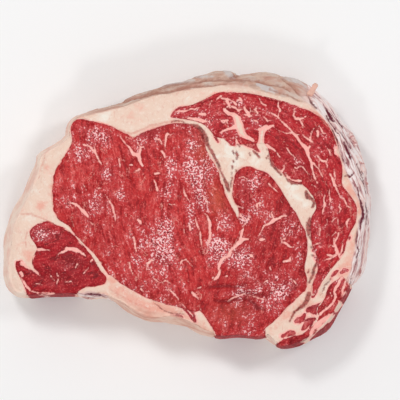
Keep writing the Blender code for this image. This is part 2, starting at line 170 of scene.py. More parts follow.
CAP_VEINS = [
    # the trunk down the middle of the cap and its branches
    [(48.6, 58, 0.6), (52, 57, 0.9), (54.6, 55.4, 0.9), (57, 53, 0.9), (60, 50.4, 1.1), (62, 48, 1.2),
     (65, 45, 1.7), (67, 42, 1.6), (69, 39, 1.8), (72, 36.6, 2.3), (73, 34, 2), (73.6, 31, 1.7),
     (75, 27.4, 1.7), (76, 23, 1.1), (77, 19, 1.2), (78.4, 15.4, 0.8)],
    [(72.4, 36, 1.6), (74.2, 37.6, 1)],
    [(74.8, 28, 1.4), (77, 26.6, 1.2), (79.4, 24, 1.1), (81.6, 19.4, 0.6)],
    [(79.6, 29, 0.5), (79.6, 24.6, 0.9)],
    [(51.4, 50.8, 0.5), (55.4, 47, 0.8), (60, 45.4, 1), (63.4, 46, 1), (65, 45, 1)],
    [(65, 45, 1), (69, 44.4, 0.6)],
    [(70, 45, 0.5), (72, 43, 0.8), (74.6, 41, 0.8), (76.4, 40, 0.6)],
    [(75, 40.4, 0.6), (74.4, 43, 0.6), (75, 46, 0.6), (76.4, 48.4, 0.5)],
    [(78.6, 46.6, 1), (79, 45, 1.5), (78.7, 42.4, 0.8)],
    [(79.4, 50, 0.8), (80.6, 48, 0.7), (81.6, 45.4, 0.7), (83.4, 45.2, 0.5)],
    [(64.8, 60, 0.7), (64.2, 56.4, 1.1), (65.6, 54.6, 1.3), (67.6, 54, 1.3), (70, 54.6, 0.9),
     (71.6, 55.4, 0.5)],
    [(67.6, 54, 0.8), (69, 52, 0.6), (70.2, 49.4, 0.4)],
    [(78, 32.6, 0.6), (80, 30.4, 1), (82, 28.6, 1.1), (84.2, 28.4, 1.3), (84.6, 30, 0.7)],
    [(83.8, 28.4, 0.9), (84.8, 26, 0.8), (84.4, 24, 0.5)],
    [(65, 25.6, 0.8), (66.6, 24.6, 0.9), (67.6, 26, 0.9), (69.4, 25.8, 0.8), (71.4, 23.6, 0.7),
     (73.4, 21, 0.5)],
    [(60, 36.4, 0.6), (62, 34, 0.9), (65.2, 30.8, 0.6)],
    [(84.4, 36.4, 0.6), (86, 34.4, 1), (86.4, 32.4, 0.6)],
    [(86.2, 21, 1), (87.8, 18, 1.1), (88.8, 15.2, 1.8), (89.9, 12.4, 1.1), (91, 9.4, 0.8), (92.2, 7, 0.8),
     (93.2, 6.2, 0.5)],
    [(88.6, 23.6, 0.5), (89.4, 18, 0.8), (89, 15, 1)],
    [(86, 12.6, 0.6), (85.6, 10, 1.1), (86.4, 7.4, 1.1), (86.6, 5.4, 0.9), (85.6, 2.4, 0.6)],
    [(83, 9, 0.6), (82.6, 6, 1), (83.3, 3.4, 1.2), (82.6, 0.4, 0.9), (81.8, -3, 0.6)],
    [(94, 6.6, 0.6), (94.9, 4.4, 0.9), (96, 1.8, 0.9), (98.6, 0.8, 0.5)],
    [(91.2, 1.6, 0.6), (92.6, 0, 0.9), (91.8, -2.4, 0.6)],
    [(87, -8, 0.5), (89, -5.6, 0.9), (90.6, -5, 0.9), (91, -9, 0.5)],
    [(75, 14.6, 0.4), (77.4, 13.6, 0.7), (79.2, 12.2, 0.7), (79.4, 10.4, 0.5)],
    # the spreading veins at its right end
    [(88.5, -17.6, 0.8), (89.5, -22, 1.2), (90, -26, 1.7), (91.5, -28.6, 1.2)],
    [(85.8, -21, 0.6), (89, -22.4, 1)],
    [(87, -16.8, 0.5), (89.2, -14, 0.9)],
    [(91, -14.4, 0.6), (90.4, -17.6, 0.9), (89.2, -20, 0.8)],
    [(83, -31, 0.6), (86.6, -29.4, 1), (89, -27.6, 1.4)],
    [(84.4, -27.4, 0.6), (88, -27.8, 1), (90, -26.4, 1)],
    [(82, -12, 0.5), (84, -9, 0.8), (84.2, -6, 0.5)],
    [(78.6, -8, 0.5), (80.4, -12, 0.8), (80, -16, 0.5)],
    [(94, -20, 0.5), (93, -25, 0.9), (91.6, -28, 1)],
    [(97.4, -6, 0.5), (96, -9.4, 0.8), (96.6, -12, 0.5)],
    # the fingers at its left end
    [(-6.4, 58.2, 0.7), (-3, 58.8, 0.8), (0, 59.2, 0.8), (2.6, 60.4, 0.9), (5, 60, 0.8), (8, 60.8, 0.5)],
    [(-5, 54.2, 1.6), (0, 54.2, 1.6), (5, 53.6, 1.8), (9, 52.9, 1.6), (14, 52.6, 0.6)],
    [(8, 56.6, 1.6), (10.6, 56.3, 2.2)],
    [(13.4, 61.8, 0.7), (15, 64.6, 1)],
    [(17, 63.8, 0.8), (18.6, 66, 1.2), (20.6, 67.4, 0.8)],
    [(20.6, 66, 0.8), (24, 66, 1.2), (26, 65.4, 1.2), (28, 64, 1.1), (29.6, 62.6, 0.6)],
    [(24, 65.2, 1.3), (25.5, 62.6, 1.7), (26, 61, 1.3)],
    [(30.4, 65, 0.7), (32.6, 64.8, 1.5), (33.2, 63.2, 0.8)],
    [(31.4, 66.8, 0.7), (32.6, 64.8, 1.2)],
    [(24.4, 61.6, 0.9), (27, 61.6, 1.2), (29, 60.4, 1.1), (31.4, 59, 1), (33.6, 59.6, 0.5)],
    [(34.8, 60.6, 1.4), (36.5, 58, 1.8), (38, 56, 1.7), (39.6, 55.8, 0.8)],
    [(38, 61.6, 0.7), (38.6, 59, 1.1), (37.4, 57.4, 1.2)],
    [(34.4, 56.6, 0.7), (37.6, 56.2, 1)],
    [(40.4, 60, 0.6), (42, 61, 0.9), (41.6, 59.4, 0.8), (43, 57.6, 0.9), (42, 56.8, 0.5)],
    [(55, 64, 0.7), (54.8, 62, 0.9), (56.4, 59.6, 0.8), (55.5, 57.6, 0.7), (55, 56, 0.9)],
    [(40.4, 53.6, 0.6), (42.6, 52.4, 1), (43, 50.4, 0.5)],
    [(20, 54.4, 0.6), (22, 52.2, 0.9), (24, 53.6, 0.9), (25, 50, 0.6)],
    [(21, 53.4, 1.1), (25, 53.8, 0.8)],
    [(43.6, 66, 0.4), (45.6, 63, 0.7), (48, 61.6, 0.4)],
    [(46, 55, 0.4), (49, 52.6, 0.8), (52, 53.4, 0.5)],
    # the band and the hook of fat that part the fingers of the cap
    [(22.6, 60, 1.6), (25, 58, 2.4), (28, 57, 3), (30.4, 54, 4.4), (31.8, 50, 5.2), (33, 46, 4),
     (36, 43.2, 2.2), (40, 40.8, 1.4)],
    [(20.2, 46, 1), (24, 48, 1.7), (28.6, 49.6, 2.6)],
    [(30.8, 38, 2.6), (30, 40.6, 1.6), (29.6, 42.6, 0.5)],
    [(44.6, 38, 5), (44.8, 42, 3.6), (45, 46, 3.6), (47.4, 48.4, 2.6), (51, 50, 1.6), (52.6, 50.4, 0.8)],
    [(43.4, 47.6, 1.6), (46.6, 49.8, 1.2), (48.4, 50.4, 0.6)],
    [(50.4, 29.4, 0.7), (53, 25.8, 0.9), (57.2, 22.4, 1.2), (58.6, 24, 1.3), (58.9, 26.8, 0.7)],
    [(59.8, 21, 0.7), (62, 18.2, 0.9), (65, 17, 0.9), (68.6, 17, 0.6)],
    [(48, 38.6, 1.6), (51, 36.4, 1.4), (54, 34, 0.8), (56.4, 31, 0.5)],
    [(75.8, -21.8, 0.8), (78, -20.6, 0.9), (80.6, -20.2, 0.6)],
    [(89, 36.6, 1.2), (90.4, 34, 3), (92.4, 31, 1.6)],
]
RIB_END_VEINS = [
    [(93.4, -41, 1.6), (91.4, -44.2, 1.3), (89.6, -47, 1.5), (88.7, -50, 1.3), (89.6, -53, 1.2),
     (88, -56.6, 0.9), (86, -58.6, 1), (83, -61, 1.1), (80.4, -63.2, 1.3)],
    [(95.4, -43, 1), (94, -47, 1), (93.6, -50, 1.1), (92.4, -52.6, 0.6)],
    [(72.4, -78.6, 2.2), (75, -74, 1.8), (77.5, -70.6, 2.2), (80.5, -67.6, 2.6), (83.5, -65.2, 2),
     (85.8, -63.2, 0.8)],
    [(86.4, -50, 0.5), (87.2, -52.4, 0.7)],
    [(83, -44, 3.2), (84, -47.6, 2.2), (82, -51.6, 1.8), (79, -55, 2.4)],
    [(88, -42, 2.2), (92, -40.4, 2.4), (96, -40, 2)],
    [(91, -55, 0.5), (91.6, -57.4, 0.7), (90.4, -60, 0.4)],
]
SIDE_VEINS = [
    [(-78, -29, 0.6), (-76, -26.8, 1), (-73, -25.5, 1.3), (-71.5, -24.2, 2.3), (-68, -24, 2.2),
     (-64, -26, 1.3), (-61, -28.3, 0.6)],
    [(-90, -24.4, 1.8), (-86, -24.4, 0.9), (-82, -24.8, 0.5)],
    [(-99, -32.5, 2.6), (-94, -35, 2.4), (-91, -37, 1.7), (-87.4, -39.8, 0.8)],
    [(-99, -38, 1), (-98, -39.6, 1.4)],
    [(-99, -41.6, 1), (-96.4, -45, 1.2), (-94.6, -48.6, 1)],
    [(-77.6, -38.4, 0.5), (-77, -40.6, 0.7)],
    [(-81.6, -40, 0.4), (-79.6, -43, 0.7)],
    [(-78, -44.6, 0.7), (-77, -42.4, 0.8)],
    [(-72, -44, 0.8), (-69.4, -43.5, 0.9)],
    [(-66.6, -35.2, 0.6), (-65.4, -33, 0.9)],
    [(-59, -35.6, 0.6), (-61.6, -38.6, 0.9)],
    [(-90.4, -44.6, 0.4), (-86.6, -45.4, 0.6)],
    [(-57.4, -31.6, 0.9), (-56, -29.4, 0.8)],
    [(-93, -49.4, 0.6), (-88, -50.6, 0.8), (-80, -50, 0.5)],
]
VEINS = EYE_VEINS + INNER_VEINS + CAP_VEINS + RIB_END_VEINS + SIDE_VEINS

# Strips of red meat in the fat, as the veins are given
SLIVERS = [
    [(75.6, -52.6, 0.6), (77.4, -50, 1.4), (78.2, -47, 1.9), (80, -43.6, 2.4)],
    [(87.3, -41.6, 0.8), (88.6, -39.4, 1.4), (91, -37.2, 0.8)],
    [(93, -38.2, 0.8), (94.6, -37, 1.6), (96.6, -36.6, 1)],
    [(65.8, -67.6, 1.8), (67.6, -66.6, 3.4), (69.4, -65.8, 2.8), (70.8, -63.4, 1)],
    [(69.4, -72, 1.2), (71.4, -70.4, 2.4), (73, -67.8, 3.4), (75.6, -66.6, 2.2), (77.6, -66, 0.8)],
    [(75.6, -68, 1.4), (75, -71, 1.6), (73.2, -75, 0.6)],
    [(57.4, -76, 1.4), (60, -75.4, 2.6), (62.4, -74.6, 2.8), (64.2, -74.2, 1.6)],
    [(72.6, -61, 2), (74.4, -60.4, 2.4), (76.4, -61.6, 3.6), (78.4, -62.4, 2.4)],
    [(75.4, -59, 1.2), (79, -59, 3.4), (83, -58, 4)],
    [(59, -79, 1.2), (59.2, -79.4, 1)],
    [(61, -79.4, 1), (65, -77.4, 2), (69, -76.4, 1.8), (72, -75.4, 0.7)],
    [(56, -83.4, 1), (60, -81.8, 1.3), (65, -80.6, 0.8)],
    [(-8, -54, 4), (-3, -56.6, 4), (1.8, -60, 4.6), (3.4, -63.6, 3), (5.4, -67.4, 1.2)],
    [(4, -55, 5), (4.2, -59, 4)],
    [(-9.4, -64.8, 1.6), (-6, -65, 2.2), (-3, -65.2, 1.6)],
    [(76, -25, 0.8), (79, -26, 2), (80.4, -29, 1.2)],
    [(77.4, -29, 0.8), (79.6, -33, 2.2), (80.4, -38, 1.6), (79.6, -43, 1)],
    [(-8.8, 55.6, 0.6), (-5, 56, 1.1), (-2, 56.4, 1.6)],
    [(-6, 57.4, 0.5), (-3, 57.2, 1.2)],
    [(-6.4, 59.6, 0.5), (-3.4, 60.4, 1.1), (0, 60.4, 1.1)],
    [(30, 41, 1), (33, 40.8, 2.8), (37, 39, 3.2), (40.6, 37.4, 2.8), (43, 34.8, 1)],
    [(17.2, 46.6, 1.8), (17.2, 43.4, 1.2), (19, 40.4, 0.6)],
    [(97.6, -17.8, 1), (97.8, -17, 0.6)],
    [(53, 30, 2.4), (55, 27.6, 2.6), (56.8, 25.4, 2)],
]

# Grey and purple films that show as lines on the cut face
FILMS = [
    [(-9, 52.2, 0.3), (-6, 53, 0.7), (-2, 52, 0.9)],
    [(-2, 51.4, 0.6), (3, 50.8, 1.1), (7, 49.4, 2.2), (9.6, 46.6, 3.4), (11, 43.5, 3.6), (11.8, 40, 2.8),
     (13.6, 36.5, 1.6), (16.4, 31, 1.5), (18.6, 28, 1.6), (20.4, 23, 0.9), (22.4, 18.6, 1.2), (24, 14.2, 2.2),
     (25.6, 10.4, 1.4)],
    [(26.6, 16, 0.8), (26.2, 13, 0.8)],
    [(50, 30, 1.1), (51, 27, 1.6), (53.6, 23.8, 1.6), (56.8, 20.4, 1)],
    [(59.4, 21, 0.7), (60.4, 18, 1.2), (63.6, 15.8, 1.8), (68.4, 15.4, 1)],
    [(71.6, 10.4, 1.4), (72.8, 7.4, 3.4), (75.2, 5.8, 1.8), (76.4, 3.4, 1.4), (75, 1, 1.3)],
    [(73.6, -5.6, 1.4), (73.6, -8.6, 2.8), (73.2, -12.6, 2.4), (73.4, -16, 1.2), (75, -18.6, 1)],
    [(61.8, -67.6, 0.6), (63.4, -65, 0.9), (65, -62.2, 1.2), (67, -60.4, 1.2), (70, -57.8, 2),
     (72, -54.6, 2.8), (73.8, -51, 2.4)],
    [(78, -33, 1.4), (76.4, -35.6, 1.5), (76, -39, 1.2), (75.2, -41.6, 1.1), (74, -44, 0.8)],
    [(73.6, -36.4, 0.7), (73.4, -38.4, 0.9)],
    [(-92, -51.6, 0.5), (-84, -52, 1), (-72, -51.6, 0.6)],
    [(27.4, 35.2, 0.9), (28.6, 33.4, 0.8)],
    [(29.6, 34.6, 0.9), (30.6, 32, 1.1), (30, 29.6, 0.8)],
    [(27.8, 29, 1), (28.2, 28, 0.9)],
    [(27.2, 25.4, 1), (27.6, 24.2, 0.8)],
    [(27, 21.8, 0.8), (27.1, 21, 0.7)],
    [(27.2, 18.8, 1), (27.2, 17.6, 0.8)],
    [(29.7, 23.2, 0.8), (29.9, 22.6, 0.7)],
    [(30.6, 38.8, 0.6), (32, 37.2, 0.7)],
    [(37.4, 33.6, 0.6), (38.1, 32.4, 0.8)],
    [(40.2, 34.6, 1), (41.6, 33.2, 1.5), (43.6, 30.8, 0.9)],
    [(48, 36, 0.8), (50.4, 35.4, 0.8)],
    [(49.6, 32.8, 0.7), (47.9, 30.6, 0.8)],
    [(75.4, -27.8, 0.8), (77, -28, 0.6)],
]

# Creases in the cut face: (x, y, width) along each. They are sunk, and darkened with painted shade.
CREASES = [
    [(18, -55, 0.7), (25, -55.6, 1.2), (31, -54, 1.3), (36, -53.6, 1), (41, -57, 1.4), (42.6, -59.6, 2.2),
     (45, -59.6, 0.8)],
    [(14, -47, 0.6), (22, -45.5, 1.1), (29, -47, 1.1), (35, -45.4, 0.6)],
    [(30, -50, 0.6), (38, -50.5, 1), (47, -52, 0.6)],
    [(-38.4, 33, 0.1), (-37, 27, 0.4), (-35, 21, 0.3), (-33.2, 17, 0.1)],
    [(-19.4, -56, 0.7), (-16, -59.8, 1), (-12, -62, 1.2), (-8, -63, 1.2), (-1.6, -63.2, 0.9)],
    [(94.5, 19.6, 1), (97.6, 20.4, 2.2)],
    [(74.6, -23, 1.8), (75.4, -23.4, 1.4)],
    [(80.6, -52, 0.6), (83.4, -46, 1.4), (86.6, -42, 1)],
    [(62.6, -80.6, 0.7), (69, -79, 1), (72, -77, 0.7)],
    [(64, -64.6, 0.4), (66, -61.4, 0.8), (70, -58, 0.7)],
    [(72, -60, 0.5), (73.8, -59.6, 0.9)],
    [(72.6, -66.6, 0.5), (76.6, -66, 0.9)],
]

# Soft patches on the cut face: (x, y, half length, half width, turn in degrees, strength)
# GLEAMS: where the painted highlights of the lean gather, as pale specks and sheen; there the relief is also
# finer
GLEAMS = [
    (-13, -18, 17, 6, 82, 1), (5, 22, 10, 5, 108, 1), (-52, 44, 10, 6, -20, 0.8), (-63, 32, 7, 6, 0, 0.55),
    (9, 8, 10, 5, 100, 0.6), (2, -5, 8, 3, 100, 0.6), (32, -30, 6.5, 5, 40, 1), (19, -24, 8, 6, 80, 0.85),
    (24, -6, 8, 5, 90, 0.6), (35.5, -6, 4, 3, 0, 0.9), (57, -50, 9, 4, 30, 0.7), (33, -50, 9, 2, 5, 0.8),
    (-48, 21, 4, 3, 100, 0.7), (-39.5, 8, 3, 2.4, 90, 0.7), (-27, -21, 2.6, 2, 90, 1),
    (-30, -31, 4, 3, 0, 0.5), (5, 38, 6, 5, 0, 0.85), (-9, 24, 8, 3, 80, 0.5), (-12, 10, 8, 6, 90, 0.55),
    (14, -33, 6, 3, 80, 0.5), (-56, 2, 8, 5, 60, 0.3), (44, 2, 10, 8, 45, 0.35), (-70, -34, 6, 4, 0, 0.4),
    (30, 63, 10, 5, -10, 0.3), (-87, -16, 7, 5, 0, 1.3), (-78, -15, 6, 4, 0, 0.7),
    (12, 26, 12, 5, 100, 0.6), (40, 14, 8, 6, 0, 0.4), (75, -30, 8, 3, 80, 0.4), (85, -2, 8, 4, 90, 0.3),
    (72, -56, 6, 4, 40, 0.5),
]
# SHADES: darker patches of lean, partly its own deeper red and partly painted shade, as along the edges of
# the fat
SHADES = [
    (-69, -31, 9, 4.5, -10, 1), (-76, -41, 20, 10, -4, 0.55), (48, -22, 14, 10, 45, 0.3),
    (68, 26, 12, 7, -50, 0.6), (57, 36, 8, 7, -50, 0.5), (86, -8, 10, 5, 90, 0.4),
    (-30, 33, 12, 5, -40, 0.3), (28, -60, 12, 6, 0, 0.45), (-58, -35, 6, 5, 0, 0.3), (32, 8, 6, 12, 0, 0.4),
    (-18, 47, 15, 3.4, 18, 0.9), (0, 48.4, 7, 3, -20, 0.8), (-50, -4, 22, 24, 0, 0.3),
    (-6, -52, 24, 8, -25, 0.3), (80, -59, 6, 2.6, 10, 0.9), (81, -71, 8, 3, 50, 1),
    (66, -80, 10, 3, 15, 0.8), (84, -50, 4, 4, 60, 0.5), (-48, -24, 10, 5, -50, 0.5),
    (-28, -48, 14, 4, -30, 0.5), (69, -30, 10, 3.4, 100, 0.5), (22, 12, 12, 2, 115, 0.6),
    (36, -40, 14, 3, 0, 0.35), (78, 8, 8, 4, 110, 0.4), (42, -46, 18, 9, 12, 0.45), (62, -4, 8, 12, 0, 0.35),
]
PEACHES = [
    (98, 13, 8, 4.4, -62, 1), (103.6, 0, 12, 2.6, 92, 1), (100, -22, 14, 4.4, 84, 1),
    (95, -36, 9, 5.5, 60, 0.9), (-94, -28, 7, 4, 70, 0.7), (-86, 26, 9, 5, 60, 0.35),
    (-93, -2, 12, 2, -10, 0.5), (-30, 59, 16, 5, 8, 0.4), (78, -39, 7, 2, 78, 0.8),
    (75, -60, 14, 7, 50, 0.5), (-15, -62, 30, 5, -20, 1.4), (-16, 49.4, 15, 1.8, 15, 1.4),
    (80.6, 54, 16, 4, -54, 1.1), (66, -60, 18, 8, 45, 0.75), (76, -38, 12, 5, 80, 0.7),
    (89, 41, 8, 4, -70, 1), (-84, 40, 9, 5, 30, 0.7), (-78, 12, 12, 4, 80, 0.6), (-88, 2, 6, 3, 20, 0.6),
    (-40, -50, 14, 5, -35, 1.2),
]
WHITES = [
    (27, 35, 12, 7, 100, 1), (43, 33, 6, 9, 0, 0.8), (64, 10, 12, 5, -55, 0.9), (-48, 55, 12, 4, 20, 0.6),
    (-18, 59, 14, 5, 12, 0.4), (84, -45, 6, 4, 60, 0.7), (-92, 12, 8, 4, 60, 0.4),
]
RUSTS = [(18, 6, 6, 9, 10, 1), (10, 34, 6, 10, 25, 0.8), (28, -62, 12, 7, 0, 0.6), (-8, -56, 12, 3, -10, 0.4)]

# Thin pink lines in the fat
THREADS = [
    [(-103, -2.4, 0.3), (-98, -2.8, 0.6), (-93, -3, 0.9), (-88, -4.6, 0.7), (-83, -7.4, 0.6),
     (-80, -9.4, 0.3)],
    [(-95.5, -14, 0.3), (-96.6, -18, 0.7), (-96.4, -23, 0.4)],
    # this line is the pink band along the top of the eye, on the fat's shaded edge: painted shade
    [(-40, 48, 0.6), (-34, 44.8, 1.1), (-27, 47.8, 1), (-20, 50.4, 1.1), (-12, 52.2, 0.9), (-7, 53.4, 0.6)],
    [(-97, 6, 0.3), (-94, 10, 0.6), (-92.4, 15, 0.3)],
    [(-90, 22, 0.3), (-86, 27, 0.5), (-85, 33, 0.3)],
    [(-46, -48, 0.4), (-38, -52.6, 0.8), (-30, -57, 0.8), (-22, -60, 0.4)],
    [(-43, -51.6, 0.4), (-34, -57.4, 0.9), (-26, -61.4, 0.8), (-16, -63.4, 0.4)],
    [(74, 60, 0.4), (80, 55.4, 0.8), (84.6, 49, 0.4)],
    [(96, 10, 0.3), (98.4, 3, 0.6), (98.4, -4, 0.3)],
]
# The hem of grey skin under the small muscle
HEM_BAND = [(-66, -50.6, 1.6), (-60, -52, 4), (-53, -52.4, 5), (-46, -55, 2.6)]
# The skin left along the lower edge of the fat
RIND_BAND = [
    (-52, -51, 2), (-44, -54.4, 4), (-37, -58.6, 6), (-29, -63, 8), (-22, -65, 7.4), (-11, -66, 6),
    (-2, -68, 5), (8, -72, 4.4), (19, -76, 3.4),
]

# The side that the ribs lay on and the back: bands, as the veins are given, that reach over the rim of
# the cut face
SKIN_BAND = [
    (75, 83, 12), (81, 73, 16), (88, 63, 18), (95.6, 49.8, 18), (99.2, 38, 16), (102, 26, 15),
    (105.6, 18, 15), (111.4, 6, 16), (112.6, 0, 16), (112.2, -6, 16), (109.6, -16, 16), (109, -26, 16),
    (106.6, -37.4, 16), (102.4, -48, 16),
]
BACK_BAND = [
    (-70, 62, 12), (-62.8, 65.5, 15), (-52.6, 67.9, 15), (-42.4, 71.4, 15), (-32.4, 74.1, 15), (-22, 77, 16),
    (-11.3, 79.4, 16), (-0.5, 81, 16), (9.8, 81.4, 16), (20, 82.2, 16), (30.6, 82, 16), (41.2, 79.9, 16),
    (52.2, 76.7, 16), (62.5, 73.9, 15), (71, 71, 14),
]
# Gaps between the strands of the silverskin, dark from the meat under them and from painted shade, and the
# folds of the back, darkened with painted shade
GAPS = [
    [(82.4, 62.4, 1), (85, 58.5, 1.8), (87, 54.6, 2.2), (88.6, 52.8, 1.2)],
    [(84, 56.4, 0.8), (85.6, 53.4, 1.6), (88.4, 49.6, 1.4), (90.6, 45.6, 1.1)],
    [(84.6, 50.4, 1), (87.6, 46.4, 1.7), (89.6, 42, 1.6), (90.8, 38, 1.1)],
    [(90.2, 54, 0.6), (93.6, 50, 1.3), (94.6, 48, 0.6)],
    [(92.6, 46.4, 0.5), (96, 41, 1), (99.2, 35.4, 0.7)],
    [(73.4, 67.6, 0.7), (75, 63.6, 1.4), (78.6, 60.2, 0.7)],
    [(94.6, 40, 0.8), (97, 34.4, 1.6), (98.6, 30, 1)],
    [(93.6, 33, 0.6), (94, 29, 1.2), (96, 27, 0.6)],
    [(94.6, 21.2, 1.2), (97, 19.6, 2), (100, 21.6, 1.2)],
    [(102.6, 13, 0.7), (103.8, 6, 1.3), (105.4, 0, 1.8), (105.6, -6, 1.6), (104, -12, 0.9)],
    [(104, 18.6, 0.6), (107, 13, 1), (108, 9, 0.5)],
    [(106.8, 4, 0.6), (108.6, -2, 1), (108, -9, 0.6)],
    [(102, -18, 0.6), (103.4, -25, 1.2), (102, -33, 0.7)],
    [(100, -38, 0.6), (98.4, -44, 1), (95, -50, 0.6)],
    [(102, 27, 0.6), (104.6, 22, 0.9), (106, 17, 0.5)],
    [(-61, -51.4, 0.6), (-57, -51, 1.8), (-53, -51.6, 1.6), (-49, -53.4, 0.8)],
    [(-58, -53.4, 0.4), (-54, -54, 1.2), (-50, -55, 0.6)],
]
FOLDS = [
    [(-52, 60, 0.5), (-40, 64, 1), (-30, 66.8, 1), (-20, 69.6, 1.3), (-10, 71.8, 1.3), (0, 73.4, 1.2),
     (15, 74, 1.2), (24, 74.6, 0.6)],
    [(-24, 70.6, 0.4), (-12, 73.6, 0.9), (0, 75.6, 1.1), (10, 77, 1.5), (20, 77.6, 2), (28, 77.2, 2),
     (36, 77, 1.2), (45, 75.8, 1.4), (55, 74, 1), (62, 71, 0.6)],
    [(26.4, 78, 1), (29, 79.6, 1.5), (31.6, 81, 1.2)],
    [(56, 79, 0.5), (64, 74, 1), (70, 68, 1.1), (72.6, 64, 0.6)],
    [(50, 71.4, 0.5), (60, 68.6, 0.9), (68, 65, 0.6)],
]
PALE_SKIN = [
    [(22.6, 83, 1.4), (24.6, 81.6, 4), (27, 79.6, 3), (29, 78.4, 1)],
    [(42, 74.2, 0.8), (46, 72.8, 3), (51, 71.2, 3.2), (55, 70, 0.8)],
    [(2, 79.6, 0.5), (10, 79, 1.5), (16, 79.4, 0.6)],
    [(-20, 73, 1), (-8, 75, 1.4), (4, 77.4, 0.8)],
    [(58, 78.6, 0.6), (66, 76.4, 1.8), (72, 73, 1)],
]


def layout_mm(points):
    """Points of the frame, in metres, as places in the drawn layout, in mm."""
    return points[:, :2] / MM - LAYOUT_SHIFT


# Noise worked out in code, for the relief of the meshes

def lattice_value(cell, seed):
    """A number from -1 to 1 for each cell of a lattice, always the same for the same cell and seed."""
    mixed = np.sin(cell @ np.array([127.1, 311.7, 74.7]) + seed * 53.3) * 43758.5453
    return 2 * (mixed - np.floor(mixed)) - 1


def soft_noise(points, size, seed, octaves=1):
    """Smooth noise of about -1 to 1 whose lumps are size across, in the points' own unit."""
    total = np.zeros(len(points))
    for octave in range(octaves):
        place = points / size * 2**octave + 7.3 * seed
        cell = np.floor(place)
        share = place - cell
        share = share * share * (3 - 2 * share)
        for corner in np.ndindex(2, 2, 2):
            weight = np.prod(np.where(corner, share, 1 - share), axis=1)
            total += weight * lattice_value(cell + corner, seed + octave) / 1.8**octave
    return total


def bump_shape(distance, width):
    """1 at distance 0, falling smoothly to 0 a few widths away."""
    return np.exp(-((distance / width) ** 2))


def stroke_gap(places, stroke):
    """How far each place is from the edge of a stroke of changing width: below 0 inside it."""
    gap = np.full(len(places), 99.0)
    knots = np.array(stroke, float)
    for (*start, start_width), (*end, end_width) in zip(knots, knots[1:]):
        side = np.subtract(end, start)
        share = np.clip((places - start) @ side / (side @ side), 0, 1)
        away = np.linalg.norm(places - start - share[:, None] * side, axis=1)
        gap = np.minimum(gap, away - (start_width + (end_width - start_width) * share) / 2)
    return gap


# The frame's own surfaces, to measure against

def node_tree(names):
    """A search tree on the surfaces of some CAD nodes."""
    corners, faces = [], []
    for name in names:
        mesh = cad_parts[name].data
        first = len(corners)
        corners += [v.co.copy() for v in mesh.vertices]
        faces += [[first + i for i in p.vertices] for p in mesh.polygons]
    return BVHTree.FromPolygons(corners, faces)


def distances(tree, points):
    return np.array([tree.find_nearest(Vector(p))[3] for p in points])


lean_tree = node_tree(MUSCLES)
fat_tree = node_tree(["fat"])
whole_tree = node_tree(MUSCLES + ["fat"])


class FaceSurface:
    """The cut face without its facets: heights on a grid, blurred, and read between the grid's points."""

    def __init__(self, step=1 * MM, blur=4):
        self.step = step
        self.low = np.array(cad_box[0][:2]) - 8 * step
        size = np.ceil((np.array(cad_box[1][:2]) + 8 * step - self.low) / step).astype(int)
        heights, known = np.zeros(size), np.zeros(size)
        for i, j in np.ndindex(*size):
            x, y = self.low + np.array([i, j]) * step
            hit = whole_tree.ray_cast(Vector((x, y, 1)), Vector((0, 0, -1)))[0]
            if hit is not None and hit.z > LOWEST_TOP:
                heights[i, j], known[i, j] = hit.z, 1
        for _ in range(4):
            spread, weight = self.blurred(heights * known, blur), self.blurred(known, blur)
            filled = np.where(weight > 1e-4, spread / np.maximum(weight, 1e-4), heights.max())
            heights = np.where(known > 0, heights, filled)
            known = np.where(weight > 1e-4, 1, known)
        self.heights = self.blurred(heights, blur) / self.blurred(np.ones(size), blur)

    @staticmethod
    def blurred(values, radius):
        offsets = np.arange(-2 * radius, 2 * radius + 1)
        kernel = np.exp(-2 * (offsets / radius) ** 2)
        kernel /= kernel.sum()
        for axis in (0, 1):
            values = np.apply_along_axis(lambda row: np.convolve(row, kernel, mode="same"), axis, values)
        return values

    def at(self, points):
        place = (points[:, :2] - self.low) / self.step
        cell = np.clip(np.floor(place).astype(int), 0, np.array(self.heights.shape) - 2)
        u, v = (place - cell).T
        i, j = cell.T
        h = self.heights
        near = h[i, j] * (1 - u) + h[i + 1, j] * u
        far = h[i, j + 1] * (1 - u) + h[i + 1, j + 1] * u
        return near * (1 - v) + far * v


face_surface = FaceSurface()


# Modelling

def make_active(obj):
    bpy.ops.object.select_all(action="DESELECT")
    obj.select_set(True)
    bpy.context.view_layer.objects.active = obj


def apply_modifier(obj, kind, **settings):
    make_active(obj)
    modifier = obj.modifiers.new(kind.title(), kind)
    for key, value in settings.items():
        setattr(modifier, key, value)
    bpy.ops.object.modifier_apply(modifier=modifier.name)


def read_points(mesh, what="co"):
    values = np.empty(len(mesh.vertices) * 3, np.float32)
    source = mesh.vertices if what == "co" else mesh.vertex_normals
    source.foreach_get("co" if what == "co" else "vector", values)
    return values.reshape(-1, 3).astype(float)


def write_points(mesh, points):
    mesh.vertices.foreach_set("co", points.astype(np.float32).ravel())
    mesh.update()


def write_attribute(mesh, name, values):
    kind = "FLOAT" if values.ndim == 1 else "FLOAT_VECTOR"
    attribute = mesh.attributes.new(name, kind, "POINT")
    attribute.data.foreach_set("value" if values.ndim == 1 else "vector", values.astype(np.float32).ravel())


def weight_group(obj, name, weights):
    """A vertex group from an array of weights, in ten steps."""
    group = obj.vertex_groups.new(name=name)
    steps = np.round(np.clip(weights, 0, 1) * 10).astype(int)
    for step in range(1, 11):
        members = np.flatnonzero(steps == step)
        if len(members):
            group.add(members.tolist(), step / 10, "REPLACE")
    return group


